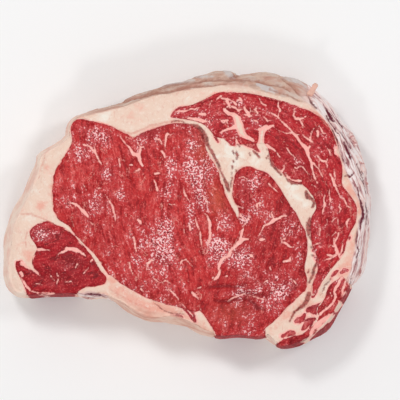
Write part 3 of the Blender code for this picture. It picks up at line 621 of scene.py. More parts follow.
def evenly_meshed_copy(name, node, size):
    """A closed copy of a CAD node with a fine, even mesh."""
    piece = bpy.data.objects.new(name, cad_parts[node].data.copy())
    bpy.context.collection.objects.link(piece)
    make_active(piece)
    bpy.ops.object.mode_set(mode="EDIT")
    bpy.ops.mesh.select_all(action="SELECT")
    bpy.ops.mesh.remove_doubles(threshold=1e-6)
    bpy.ops.object.mode_set(mode="OBJECT")
    piece.data.materials.clear()
    apply_modifier(piece, "REMESH", mode="VOXEL", voxel_size=size)
    return piece


def smooth_step(low, high, values):
    share = np.clip((values - low) / (high - low), 0, 1)
    return share * share * (3 - 2 * share)


def thin_hidden_walls(piece, wall_gap):
    """Takes most faces off the walls inside the roast, which nothing shows."""
    points = read_points(piece.data)
    under_face = points[:, 2] < face_surface.at(points) - HIDDEN_DEPTH
    inside = (wall_gap < HIDDEN_REACH) & (points[:, 2] > 2 * MM) & under_face
    group = weight_group(piece, "hidden", inside.astype(float))
    kept = 1 - inside.mean() * HIDDEN_SHARE
    apply_modifier(piece, "DECIMATE", ratio=kept, vertex_group=group.name, vertex_group_factor=10)
    piece.vertex_groups.clear()


def patch_strength(places, patches):
    """How strongly soft oval patches cover each place, from 0 to 1."""
    total = np.zeros(len(places))
    for x, y, half_length, half_width, turn, strength in patches:
        c, s = math.cos(math.radians(turn)), math.sin(math.radians(turn))
        away = places - (x, y)
        u, v = (away @ (c, s)) / half_length, (away @ (-s, c)) / half_width
        total = np.maximum(total, strength * np.exp(-1.1 * (u * u + v * v)))
    return total


def nearest_gap(places, strokes, shown):
    """The gap to the nearest of some strokes, for the places that are shown."""
    gap = np.full(len(places), 99.0)
    for stroke in strokes:
        xy = np.array(stroke)[:, :2]
        near = ((places > xy.min(0) - 6) & (places < xy.max(0) + 6)).all(1) & shown
        gap[near] = np.minimum(gap[near], stroke_gap(places[near], stroke))
    return gap


def around(places):
    """Arc length round the roast, in mm, from the middle of its rib side, and the turn in degrees."""
    away = places - RIM_MIDDLE
    turn = np.arctan2(away[:, 1], away[:, 0])
    return turn * RIM_RADIUS, np.degrees(turn)


def strands(arc, height):
    """The silverskin's ridges, from 0 in a groove to 1 on a strand: long round the side, narrow up it."""
    drift = 4 * soft_noise(np.column_stack([arc / 30, height / 60, 0 * arc]), 1, 41, 2)
    coarse = soft_noise(np.column_stack([arc / 22, (height + drift) / 3.6, 0 * arc]), 1, 42)
    fine = soft_noise(np.column_stack([arc / 12, (height + 1.6 * drift) / 1.7, 0 * arc]), 1, 43)
    return np.clip(1 - 1.5 * np.abs(coarse), 0, 1) * 0.6 + np.clip(1 - 1.4 * np.abs(fine), 0, 1) * 0.4


def fibre_places(node, places, solid):
    """Where each place lies along and across the muscle's fibres, in mm."""
    bend = 5 * soft_noise(solid, 34, 21)
    if node == "cap_muscle":
        away = places - CAP_MIDDLE
        return np.arctan2(away[:, 1], away[:, 0]) * CAP_RADIUS, np.linalg.norm(away, axis=1) + bend
    turn = math.radians(FIBRE_TURNS[node])
    c, s = math.cos(turn), math.sin(turn)
    return places @ (c, s), places @ (-s, c) + bend


def drawn_places(points, on_base):
    """Where each point lies in the layout that the strokes are drawn in.

    The strokes wander a little. They run on down the walls, drawn as seen from above, where a lower
    place looks nearer the middle, and they are shifted on the underside.
    """
    places, solid = layout_mm(points), points / MM
    wander = np.column_stack([soft_noise(solid, 6, 11, 3), soft_noise(solid, 6, 12, 3)]) * 0.5
    under = on_base > 0.5
    drawn = places + wander
    drawn[under] += 4 * np.sin(places[under] / 17)
    nearness = VIEW_HEIGHT / (VIEW_HEIGHT + TOP - points[:, 2])
    nearness[under] = 1
    return VIEW_MIDDLE + (drawn - VIEW_MIDDLE) * nearness[:, None]


def cut_relief(solid, lean, crease, gleam):
    """The cut surface's relief in mm: lumps and grain, sunk at the creases and where lean meets fat."""
    flesh = smooth_step(-0.5, 1.2, lean)
    relief = 0.42 * soft_noise(solid, 8, 1, 2) + 0.3 * soft_noise(solid, 3.4, 2, 2) * flesh
    relief += 0.14 * soft_noise(solid, 1.6, 3) * flesh * (0.6 + gleam)
    relief -= 0.32 * bump_shape(lean, 0.8) + 1.1 * bump_shape(np.maximum(crease, 0), 0.9)
    relief += 0.5 * smooth_step(0, 4, lean) - 0.25
    return relief


def skin_cover(node, drawn, solid, turn, skin_gap, on_face, on_base):
    """How far the silverskin and the tan back cover each place, from 0 to 1."""
    silver = smooth_step(-52, -40, turn) * smooth_step(54, 44, turn) * (1 - on_face) * (1 - on_base)
    tan = smooth_step(40, 50, turn) * smooth_step(150, 138, turn) * (1 - on_face)
    if node == "fat":
        silver = np.maximum(silver, smooth_step(0.5, -0.5, skin_gap) * (1 - on_base))
        ragged = stroke_gap(drawn, HEM_BAND) + 1.5 * soft_noise(solid, 4, 20, 2)
        hem_height = solid[:, 2] + 7 * soft_noise(solid, 5, 19, 2)
        silver = np.maximum(silver, smooth_step(0.6, -0.6, ragged) * smooth_step(34, 44, hem_height))
        back_gap = stroke_gap(drawn, BACK_BAND)
        tan = np.maximum(tan, smooth_step(0.4, -0.4, back_gap) * (1 - on_base)) * (1 - silver)
    return silver, tan


def moved_points(node, points, normals, on_face, on_base, pushed, relief):
    """The points after the walls are pushed out and the cut face and the underside get their relief."""
    moved = points.copy()
    if node != "fat":
        moved[:, :2] += normals[:, :2] * OVERLAP
    sideways = np.hypot(normals[:, 0], normals[:, 1])
    moved[:, :2] += normals[:, :2] * (pushed / np.maximum(sideways, 0.3) * MM)[:, None]
    face_height = face_surface.at(moved) + relief * MM
    moved[:, 2] += on_face * (face_height - points[:, 2] + (LIFT if node != "fat" else 0))
    moved[:, 2] += on_base * np.clip(0.5 - relief, 0, 1) * MM * 0.6
    return moved


def shape_piece(piece, node):
    """Moves a meshed copy's surface to its real shape, and stores on it what its material reads."""
    mesh = piece.data
    points = read_points(mesh)
    normals = read_points(mesh, "normal")
    places, solid = layout_mm(points), points / MM
    height = solid[:, 2]
    arc, turn = around(places)
    upward, level = normals[:, 2], points[:, 2]
    on_face = smooth_step(0.35, 0.8, upward) * smooth_step(LOWEST_TOP, LOWEST_TOP + 3 * MM, level)
    on_base = smooth_step(0.35, 0.8, -upward) * smooth_step(3 * MM, 1 * MM, level)
    wall = (1 - on_face) * (1 - on_base)
    drawn = drawn_places(points, on_base)

    # how deep in the lean each place is, in mm, with the slivers and the veins, which taper down the walls
    lean_gap = distances(lean_tree, points)
    lean = (distances(fat_tree, points) - lean_gap) / MM
    lean += 0.75 * soft_noise(solid, 4, 13, 3) * bump_shape(lean, 4)
    taper = wall * np.clip(TOP / MM - height, 0, 50) * (0.085 + 0.08 * soft_noise(solid, 7, 18, 2))
    shown = (on_face + on_base > 0) | (height > STROKES_END)
    lean = np.maximum(lean, 0.4 - nearest_gap(drawn, SLIVERS, shown) - taper)
    vein_gap = nearest_gap(drawn, VEINS, shown) + 0.3 * soft_noise(solid, 3, 14, 2) + 0.06 + taper
    vein = smooth_step(0.2, 1, lean) * smooth_step(0.5, -0.1, vein_gap) * smooth_step(-1.5, -0.7, vein_gap)
    lean = np.minimum(lean, vein_gap)

    crease = nearest_gap(drawn, CREASES, shown)
    gleam = patch_strength(drawn, GLEAMS)
    relief = cut_relief(solid, lean, crease, gleam)
    # the muscles shift more, the further down they are
    wandering = 2.6 + 0.05 * np.clip(TOP / MM - height, 0, 50)
    lean += wall * wandering * soft_noise(solid * (1, 1, 0.7), 14, 17, 3)

    # the skins, and what they and the lumps of the sides add to the relief
    skin_gap = stroke_gap(drawn, SKIN_BAND)
    silver, tan = skin_cover(node, drawn, solid, turn, skin_gap, on_face, on_base)
    over_rim = np.clip(skin_gap, -SKIN_REACH, 0)
    strand = strands(arc, height + over_rim)
    gaps, folds, pale_skin = (-nearest_gap(drawn, lines, height > 20) for lines in (GAPS, FOLDS, PALE_SKIN))
    skin_relief = silver * (1.1 * (strand - 0.5) - 0.7 * smooth_step(-0.6, 0.5, gaps))
    skin_relief += tan * (0.5 * smooth_step(-0.5, 0.8, pale_skin) - 1.1 * smooth_step(-0.9, 0.5, folds))
    outside = wall * (lean_gap > 1.5 * MM)
    lumps = 0.9 * soft_noise(solid, 14, 5, 2) + 0.25 * soft_noise(solid, 4, 6, 2)
    pushed = outside * (lumps * (1 - 0.6 * silver) + skin_relief)
    relief += skin_relief * on_face
    write_points(mesh, moved_points(node, points, normals, on_face, on_base, pushed, relief))

    along, across = fibre_places(node, places, solid)
    # shine: where painted highlights gather, from the GLEAMS and some noise, less on the side muscle
    shine = gleam + 0.25 * soft_noise(solid, 16, 32, 2) - (0.35 if node == "side_muscle" else 0)
    # shade: the SHADES patches, partly the lean's own deeper red, with painted shade in the creases and on
    # the walls
    shade = patch_strength(drawn, SHADES) + bump_shape(np.maximum(crease, 0), 0.7) + 0.3 * wall
    rind = smooth_step(1.2, -1.6, stroke_gap(drawn, RIND_BAND)) * (1 - on_base) * float(node == "fat")
    looks = {
        "grain": np.column_stack([along * GRAIN_SQUEEZE, across, height]),
        "side": np.column_stack([arc * STRAND_SQUEEZE, height * 0.35 + over_rim, 0 * arc]),
        "lean_mm": lean,
        "film_mm": -nearest_gap(drawn, FILMS, shown) - taper,
        "shine": np.clip(shine, -0.5, 1),
        "crease_shade_mm": -crease,
        "thread_mm": -nearest_gap(drawn, THREADS, shown),
        "vein": vein,
        "wall": wall,
        "shade": np.clip(shade, 0, 1),
        "rust": patch_strength(drawn, RUSTS),
        "peach": patch_strength(drawn, PEACHES) - patch_strength(drawn, WHITES),
        "tan": tan,
        "rind": rind,
        "silver": silver,
        "strand": strand,
        "lit_outer_wall": outside,
        "gap_mm": gaps,
        "fold_shade_mm": folds,
        "pale_mm": pale_skin,
    }
    for name, values in looks.items():
        write_attribute(mesh, name, values)


pieces = {}
for node in MUSCLES + ["fat"]:
    name = node.replace("_muscle", "_meat") if node != "fat" else "fat_body"
    piece = evenly_meshed_copy(name, node, FAT_MESH if node == "fat" else MUSCLE_MESH)
    own_gap = distances(fat_tree if node != "fat" else lean_tree, read_points(piece.data))
    thin_hidden_walls(piece, own_gap)
    shape_piece(piece, node)
    make_active(piece)
    bpy.ops.object.shade_smooth()
    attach(piece, "root")
    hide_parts(node)
    pieces[node] = piece


# Shreds of fat and skin that stand off the sides: the path of each in mm with its height, and its widths
SHREDS = {
    "loose_flap": [(74.2, 69, 44, 4.6), (75.4, 71, 45, 3.8), (77, 73.4, 44.6, 4.2), (78.8, 75.8, 43.6, 3.6)],
    "skin_shred_1": [(104.6, 28, 40, 2), (106.6, 27.6, 40.6, 1.2), (108.4, 27.4, 40, 0.8)],
    "skin_shred_2": [(106.4, 16.4, 38, 2.6), (108.6, 15.6, 38.4, 2), (110, 15, 38, 1.2)],
    "skin_shred_3": [(104, -35, 40, 3), (105.6, -38, 40.6, 2), (104, -41, 40, 1)],
    "skin_shred_4": [(99, 46, 40, 2.4), (101, 42, 40.6, 3), (103, 38, 40.4, 1.6)],
    "skin_shred_5": [(-66, -50, 45, 2), (-63, -53, 45.6, 3), (-58, -54, 45.2, 2.4), (-54, -53.6, 45, 1.2)],
    "skin_shred_6": [(-54, -50.6, 46, 2), (-50, -52.6, 46, 2.6), (-46, -53, 45.6, 1.2)],
    "skin_shred_7": [(-90, -50.6, 47, 2), (-86, -52.6, 47, 2.2), (-82, -52.4, 46.6, 1)],
}


def shred_piece(name, path):
    """A flat tongue along a path: a box pulled out step by step, rounded, and roughened."""
    spots = [np.array([*(np.array(knot[:2]) + LAYOUT_SHIFT), knot[2]]) * MM for knot in path]
    bpy.ops.object.select_all(action="DESELECT")
    bpy.ops.mesh.primitive_cube_add(size=1, location=spots[0])
    piece = bpy.context.object
    piece.name = name
    heading = spots[1] - spots[0]
    turn = math.atan2(heading[1], heading[0])
    width = path[0][3] * MM
    bpy.ops.object.mode_set(mode="EDIT")
    bpy.ops.transform.resize(value=(0.001, width, width * 0.5))
    bpy.ops.object.mode_set(mode="OBJECT")
    piece.rotation_euler = (0, 0, turn)
    bpy.ops.object.transform_apply(location=True, rotation=True, scale=True)
    ahead = np.array([math.cos(turn), math.sin(turn), 0])
    for knot, last, spot, last_spot in zip(path[1:], path, spots[1:], spots):
        bpy.ops.object.mode_set(mode="OBJECT")
        for face in piece.data.polygons:
            face.select = bool(np.dot(face.normal, ahead) > 0.7)
        for part in (piece.data.edges, piece.data.vertices):
            part.foreach_set("select", np.zeros(len(part), bool))
        bpy.ops.object.mode_set(mode="EDIT")
        bpy.ops.mesh.select_mode(type="FACE")
        bpy.ops.mesh.extrude_region_move(TRANSFORM_OT_translate={"value": tuple(spot - last_spot)})
        share = knot[3] / last[3]
        bpy.ops.transform.resize(value=(share, share, share))
    bpy.ops.object.mode_set(mode="OBJECT")
    apply_modifier(piece, "SUBSURF", levels=2, render_levels=2)
    apply_modifier(piece, "REMESH", mode="VOXEL", voxel_size=SHRED_MESH)
    mesh = piece.data
    points = read_points(mesh)
    points += read_points(mesh, "normal") * (0.5 * soft_noise(points / MM, 2.2, 61, 2))[:, None] * MM
    write_points(mesh, points)
    arc = around(layout_mm(points))[0]
    skin = 0.0 if name == "loose_flap" else 0.85  # how far silverskin covers the shred
    looks = {"lean_mm": -3, "film_mm": -9, "gap_mm": -9, "fold_shade_mm": -9, "pale_mm": -9, "crease_shade_mm": -9,
             "thread_mm": -9, "silver": skin, "tan": 0.45 - 0.45 * skin, "strand": 0.6, "peach": 0.9,
             "lit_outer_wall": 0, "shine": 0, "shade": 0, "rust": 0, "vein": 0, "wall": 0, "rind": 0}
    for label, value in looks.items():
        write_attribute(mesh, label, np.full(len(points), float(value)))
    write_attribute(mesh, "grain", points / MM)
    write_attribute(mesh, "side", np.column_stack([arc * STRAND_SQUEEZE, points[:, 2] / MM * 2, 0 * arc]))
    bpy.ops.object.shade_smooth()
    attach(piece, "root")
    return piece


shreds = [shred_piece(name, path) for name, path in SHREDS.items()]


# Materials

class Graph:
    """Adds nodes to a material's or a group's node tree and links them."""

    def __init__(self, tree):
        self.tree = tree

    def add(self, kind, **settings):
        node = self.tree.nodes.new(kind)
        for key, value in settings.items():
            setattr(node, key, value)
        return node

    def feed(self, socket, value):
        if isinstance(value, bpy.types.NodeSocket):
            self.tree.links.new(value, socket)
        elif value is not None:
            socket.default_value = value

    def sum_up(self, operation, a, b=None, clamp=False):
        node = self.add("ShaderNodeMath", operation=operation, use_clamp=clamp)
        self.feed(node.inputs[0], a)
        self.feed(node.inputs[1], b)
        return node.outputs[0]

    def stretch(self, value, low, high, to_low=0.0, to_high=1.0, smooth=True):
        node = self.add("ShaderNodeMapRange", interpolation_type="SMOOTHSTEP" if smooth else "LINEAR")
        for socket, number in zip(node.inputs, (value, low, high, to_low, to_high)):
            self.feed(socket, number)
        return node.outputs[0]

    def mix(self, share, a, b, blend="MIX"):
        node = self.add("ShaderNodeMix", data_type="RGBA", blend_type=blend)
        self.feed(node.inputs[0], share)
        self.feed(node.inputs[6], a)
        self.feed(node.inputs[7], b)
        return node.outputs[2]

    def noise(self, vector, size, detail=2.0, roughness=0.55, distortion=0.0):
        """Noise from 0 to 1 with lumps about size across, in the vector's own unit."""
        node = self.add("ShaderNodeTexNoise")
        self.feed(node.inputs["Vector"], vector)
        settings = {"Scale": 1 / size, "Detail": detail, "Roughness": roughness, "Distortion": distortion}
        for socket, number in settings.items():
            node.inputs[socket].default_value = number
        return node.outputs["Fac"]

    def blend_of(self, *parts):
        """The sum of some values, each times its own share."""
        total = None
        for value, share in parts:
            part = self.sum_up("MULTIPLY", value, share)
            total = part if total is None else self.sum_up("ADD", total, part)
        return total

    def attribute(self, name, output="Fac"):
        return self.add("ShaderNodeAttribute", attribute_name=name).outputs[output]

    def millimetres(self):
        """The piece's own coordinates in mm."""
        place = self.add("ShaderNodeTexCoord").outputs["Object"]
        node = self.add("ShaderNodeMapping")
        self.feed(node.inputs["Vector"], place)
        node.inputs["Scale"].default_value = (1000, 1000, 1000)
        return node.outputs[0]

    def squeezed(self, vector, scale):
        node = self.add("ShaderNodeMapping")
        self.feed(node.inputs["Vector"], vector)
        node.inputs["Scale"].default_value = scale
        return node.outputs[0]

    def use(self, group, **inputs):
        node = self.add("ShaderNodeGroup", node_tree=group)
        for name, value in inputs.items():
            self.feed(node.inputs[name.replace("_", " ")], value)
        return node.outputs


def new_group(name, inputs, outputs):
    """A node group with its inputs' and outputs' sockets. Returns its graph, inputs and output node."""
    kinds = {"value": "NodeSocketFloat", "colour": "NodeSocketColor", "vector": "NodeSocketVector"}
    group = bpy.data.node_groups.new(name, "ShaderNodeTree")
    for label, kind, default in inputs:
        socket = group.interface.new_socket(label, in_out="INPUT", socket_type=kinds[kind])
        if default is not None:
            socket.default_value = default
    for label, kind in outputs:
        group.interface.new_socket(label, in_out="OUTPUT", socket_type=kinds[kind])
    graph = Graph(group)
    return group, graph, graph.add("NodeGroupInput").outputs, graph.add("NodeGroupOutput").inputs


def srgb(red, green, blue):
    """A colour given from 0 to 255, as the linear values that the shader takes."""
    shares = (red / 255, green / 255, blue / 255)
    return (*(c / 12.92 if c <= 0.04045 else ((c + 0.055) / 1.055) ** 2.4 for c in shares), 1.0)


def raw_flesh_group():
    """Cut lean meat: streaks of fibres and fine marbling, with painted highlights as pale specks and a pale
    sheen in the moist patches, and painted shade in its pits.
    """
    group, g, i, o = new_group(
        "raw flesh",
        [("Place", "vector", None), ("Grain", "vector", None), ("Deep", "colour", None),
         ("Red", "colour", None), ("Pale", "colour", None), ("Marbling", "value", 0.5),
         ("Shade", "value", 0.0), ("Shine", "value", 0.0), ("Rust", "value", 0.0)],
        [("Colour", "colour"), ("Height", "value"), ("Roughness", "value")],
    )
    mottle = g.noise(i["Place"], 7, 3, 0.6, 0.6)
    streaks = g.noise(i["Grain"], 3, 2, 0.6, 0.4)
    fibre = g.noise(i["Grain"], 1.2, 2, 0.7)
    tone = g.blend_of((mottle, 0.35), (streaks, 0.4), (fibre, 0.25))
    colour = g.mix(g.stretch(tone, 0.41, 0.49), i["Deep"], i["Red"])
    colour = g.mix(g.stretch(tone, 0.51, 0.6), colour, i["Pale"])
    colour = g.mix(g.sum_up("MULTIPLY", i["Rust"], 0.6), colour, srgb(196, 88, 58))
    grit = g.noise(g.squeezed(i["Grain"], (1.8, 1.0, 1.0)), 1.0, 2, 0.6, 0.5)
    colour = g.mix(g.stretch(grit, 0.54, 0.68, 0, 0.3), colour, i["Pale"])
    colour = g.mix(g.stretch(grit, 0.46, 0.34, 0, 0.5), colour, i["Deep"])
    # the Shade input: painted shade, partly the lean's own deeper red, mixed towards the deep colour
    colour = g.mix(g.sum_up("MULTIPLY", i["Shade"], 0.85), colour, i["Deep"])
    # fine marbling: broken lines where a stretched noise crosses its middle
    lines = g.noise(g.squeezed(i["Grain"], (2.0, 1.0, 1.0)), 4.6, 3, 0.62, 1.3)
    line = g.sum_up("ABSOLUTE", g.sum_up("SUBTRACT", lines, 0.5))
    broken = g.stretch(g.noise(i["Place"], 6, 3, 0.6), 0.5, 0.64)
    width = g.sum_up("MULTIPLY", g.sum_up("MULTIPLY", broken, i["Marbling"]), 0.05)
    marbling = g.sum_up("MULTIPLY", g.stretch(g.sum_up("SUBTRACT", line, width), 0.004, -0.012), broken)
    colour = g.mix(g.sum_up("MULTIPLY", marbling, 0.7), colour, srgb(240, 158, 146))
    # painted highlights: pale specks in streaky clusters over a pale painted sheen in the moist patches, with
    # painted shade in the pits between them
    wet_sheen = g.blend_of((i["Shine"], 1.0), (mottle, 1.4), (streaks, 1.2), (fibre, 0.5))
    wet_sheen = g.stretch(wet_sheen, 1.4, 2.45)
    colour = g.mix(g.sum_up("MULTIPLY", wet_sheen, 0.55), colour, srgb(208, 100, 106))
    drops = g.noise(i["Place"], 1.08, 1.5, 0.5, 0.4)
    pits = g.noise(i["Place"], 1.2, 2, 0.6, 0.6)
    pit_shade = g.sum_up("MULTIPLY", g.stretch(pits, 0.48, 0.38), g.stretch(wet_sheen, 0, 1, 0.3, 1))
    colour = g.mix(pit_shade, colour, srgb(112, 0, 8))
    painted_glint = g.stretch(g.blend_of((drops, 1.0), (wet_sheen, 0.09)), 0.605, 0.65)
    pale = g.mix(g.stretch(wet_sheen, 0, 0.6), srgb(228, 92, 88), srgb(255, 204, 204))
    colour = g.mix(g.sum_up("MULTIPLY", painted_glint, g.stretch(wet_sheen, 0, 1, 0.55, 0.95)), colour, pale)
    g.feed(o["Colour"], colour)
    g.feed(o["Height"], g.blend_of((fibre, 0.25), (streaks, 0.45), (drops, 0.5), (pits, 0.35)))
    rough = g.stretch(g.noise(i["Place"], 6, 2), 0.3, 0.7, 0.4, 0.28, smooth=False)
    g.feed(o["Roughness"], g.sum_up("SUBTRACT", rough, g.sum_up("MULTIPLY", wet_sheen, 0.08)))
    return group


def raw_fat_group():
    """Raw fat: cream with paler and pinker clouds and a soft grain. Thin fat over lean is pink."""
    group, g, i, o = new_group(
        "raw fat",
        [("Place", "vector", None), ("Cream", "colour", None), ("Blush", "colour", None),
         ("Depth mm", "value", 3.0), ("Peach", "value", 0.0)],
        [("Colour", "colour"), ("Height", "value"), ("Roughness", "value")],
    )
    cloud = g.noise(i["Place"], 9, 3, 0.6, 0.5)
    lobules = g.noise(i["Place"], 2.2, 3, 0.6, 0.3)
    threads = g.noise(g.squeezed(i["Place"], (0.5, 0.2, 1)), 0.8, 3, 0.7, 0.8)
    depth = g.sum_up("ADD", i["Depth mm"], g.sum_up("MULTIPLY", g.sum_up("SUBTRACT", cloud, 0.5), 2))
    tint = g.blend_of((i["Peach"], 1.0), (cloud, 3.4), (lobules, 1.2), (-2.3, 1.0))
    colour = g.mix(g.stretch(tint, 0.1, 1.2), i["Cream"], srgb(236, 172, 154))
    colour = g.mix(g.stretch(tint, -0.2, -1.2), colour, srgb(242, 232, 220))
    colour = g.mix(g.stretch(depth, 0.1, 1.3), i["Blush"], colour)
    colour = g.mix(g.stretch(lobules, 0.52, 0.7, 0, 0.4), colour, srgb(250, 238, 226))
    colour = g.mix(g.stretch(threads, 0.56, 0.7, 0, 0.45), colour, srgb(218, 150, 138))
    g.feed(o["Colour"], colour)
    g.feed(o["Height"], g.sum_up("ADD", lobules, g.sum_up("MULTIPLY", threads, 0.25)))
    g.feed(o["Roughness"], g.stretch(cloud, 0.3, 0.7, 0.52, 0.4, smooth=False))
    return group


def tissue_edge_group():
    """Where the lean ends: its signed distance, frayed by noise, as a share of lean from 0 to 1."""
    group, g, i, o = new_group(
        "tissue edge",
        [("Place", "vector", None), ("Lean mm", "value", 0.0), ("Fray", "value", 0.7)],
        [("Lean", "value"), ("Depth mm", "value"), ("Rim_shade", "value")],
    )
    wide = g.sum_up("SUBTRACT", g.noise(i["Place"], 2.6, 2), 0.5)
    fine = g.sum_up("SUBTRACT", g.noise(i["Place"], 0.9, 2), 0.5)
    fray = g.sum_up("ADD", g.sum_up("MULTIPLY", wide, 1.3), g.sum_up("MULTIPLY", fine, 1.1))
    depth = g.sum_up("ADD", i["Lean mm"], g.sum_up("MULTIPLY", fray, i["Fray"]))
    g.feed(o["Lean"], g.stretch(depth, -0.25, 0.3))
    g.feed(o["Depth mm"], g.sum_up("MULTIPLY", i["Lean mm"], -1))
    # the rim just inside the lean's edge, where the border is sunk, is darkened with painted shade
    rim = g.sum_up("MULTIPLY", g.stretch(depth, -0.1, 0.25), g.stretch(depth, 1.5, 0.3))
    g.feed(o["Rim_shade"], rim)
    return group


def silverskin_group():
    """The wrinkled membrane on the rib side: pale strands with dark purple grooves between them."""
    group, g, i, o = new_group(
        "silverskin",
        [("Side", "vector", None), ("Strand", "value", 0.5), ("Gap mm", "value", -9.0),
         ("Place", "vector", None), ("Wall", "value", 0.0)],
        [("Colour", "colour"), ("Height", "value")],
    )
    fine = g.noise(i["Side"], 1.1, 2, 0.6, 0.6)
    groove = g.blend_of((i["Strand"], 0.4), (fine, 0.85))
    patch = g.noise(g.squeezed(i["Side"], (1.6, 0.5, 1)), 5, 3, 0.6)
    worn = g.stretch(patch, 0.4, 0.6)
    # each colour has a darker copy for the cut face and a lighter one for the walls, mixed by Wall: painted
    # light on the walls
    near = g.mix(worn, srgb(226, 200, 197), srgb(220, 172, 163))
    far = g.mix(worn, srgb(246, 234, 232), srgb(244, 208, 200))
    colour = g.mix(i["Wall"], near, far)
    shallow = g.mix(i["Wall"], srgb(182, 126, 128), srgb(222, 184, 182))
    colour = g.mix(g.stretch(groove, 0.66, 0.58), colour, shallow)
    # the dark purple in the grooves: partly the meat under the membrane, partly painted shade; lighter on the
    # walls
    deep = g.mix(i["Wall"], srgb(108, 36, 50), srgb(178, 118, 122))
    colour = g.mix(g.stretch(groove, 0.56, 0.47, 0, 0.9), colour, deep)
    # a painted highlight along the tops of the strands
    colour = g.mix(g.stretch(groove, 0.7, 0.78, 0, 0.85), colour, srgb(248, 236, 234))
    # the gaps: dark from the meat under them and from painted shade
    rag = g.blend_of((g.noise(i["Place"], 1.6, 2), 1.6), (i["Gap mm"], 1.0))
    colour = g.mix(g.stretch(rag, 0.55, 1.3), colour, srgb(108, 28, 48))
    g.feed(o["Colour"], colour)
    g.feed(o["Height"], groove)
    return group


raw_flesh = raw_flesh_group()
raw_fat = raw_fat_group()
tissue_edge = tissue_edge_group()
silverskin = silverskin_group()

CREAM = srgb(237, 207, 189)
BLUSH = srgb(252, 181, 171)


def meat_material(name, deep, red, pale, marbling):
    """Lean with its marbling, running out into fat at the edges of the muscle."""
    material = bpy.data.materials.new(name)
    material.use_nodes = True
    g = Graph(material.node_tree)
    shader = material.node_tree.nodes["Principled BSDF"]
    place = g.millimetres()
    edge = g.use(tissue_edge, Place=place, Lean_mm=g.attribute("lean_mm"))
    # the lean's darkening: the shade attribute, and painted shade in the rim just inside its edge
    shade = g.sum_up("ADD", g.attribute("shade"), g.sum_up("MULTIPLY", edge["Rim_shade"], 0.4), clamp=True)
    flesh = g.use(raw_flesh, Place=place, Grain=g.attribute("grain", "Vector"), Deep=deep, Red=red, Pale=pale,
                  Marbling=marbling, Shade=shade, Shine=g.attribute("shine"), Rust=g.attribute("rust"))
    depth = g.sum_up("SUBTRACT", edge["Depth mm"], g.attribute("vein"))
    fat = g.use(raw_fat, Place=place, Cream=CREAM, Blush=BLUSH, Depth_mm=depth, Peach=g.attribute("peach"))
    colour = g.mix(edge["Lean"], fat["Colour"], flesh["Colour"])
    height = g.stretch(edge["Lean"], 0, 1, fat["Height"], flesh["Height"], False)
    rough = g.stretch(edge["Lean"], 0, 1, fat["Roughness"], flesh["Roughness"], False)
    fray = g.sum_up("MULTIPLY", g.sum_up("SUBTRACT", g.noise(place, 1.2, 3), 0.5), 1.6)
    thread = g.stretch(g.sum_up("ADD", g.attribute("thread_mm"), fray), -0.7, 0.5, 0, 0.6)
    colour = g.mix(thread, colour, srgb(216, 138, 124))
    film = g.stretch(g.sum_up("ADD", g.attribute("film_mm"), fray), -0.7, 0.4, 0, 0.9)
    film_colour = g.mix(g.stretch(g.noise(place, 1.8, 2), 0.4, 0.56), srgb(112, 0, 6), srgb(166, 72, 66))
    colour = g.mix(film, colour, film_colour)
    # the creases, darkened with painted shade
    crease = g.stretch(g.sum_up("ADD", g.attribute("crease_shade_mm"), fray), -0.3, 0.6, 0, 0.75)
    colour = g.mix(crease, colour, srgb(120, 2, 12))
    # the walls of the lean: a darker streaked flesh, partly their own colour and partly painted shade, and
    # rougher
    wall = g.attribute("wall")
    upright = g.noise(g.squeezed(place, (1, 1, 0.25)), 2.6, 3, 0.65, 0.5)
    shaded_wall_flesh = g.mix(g.stretch(upright, 0.4, 0.64), srgb(122, 8, 24), srgb(190, 58, 64))
    colour = g.mix(g.sum_up("MULTIPLY", wall, g.sum_up("MULTIPLY", edge["Lean"], 0.55)), colour, shaded_wall_flesh)
    rough = g.sum_up("ADD", rough, g.sum_up("MULTIPLY", wall, 0.4), clamp=True)
    return material, g, shader, place, colour, height, rough


def finish_surface(g, shader, colour, height, rough):
    g.feed(shader.inputs["Base Color"], colour)
    g.feed(shader.inputs["Roughness"], rough)
    shader.inputs["Specular IOR Level"].default_value = SPECULAR
    bump = g.add("ShaderNodeBump")
    bump.inputs["Distance"].default_value = BUMP_DEPTH
    bump.inputs["Strength"].default_value = BUMP_STRENGTH
    g.feed(bump.inputs["Height"], height)
    g.feed(shader.inputs["Normal"], bump.outputs[0])


def lean_material(*settings):
    material, g, shader, _, *surface = meat_material(*settings)
    finish_surface(g, shader, *surface)
    return material


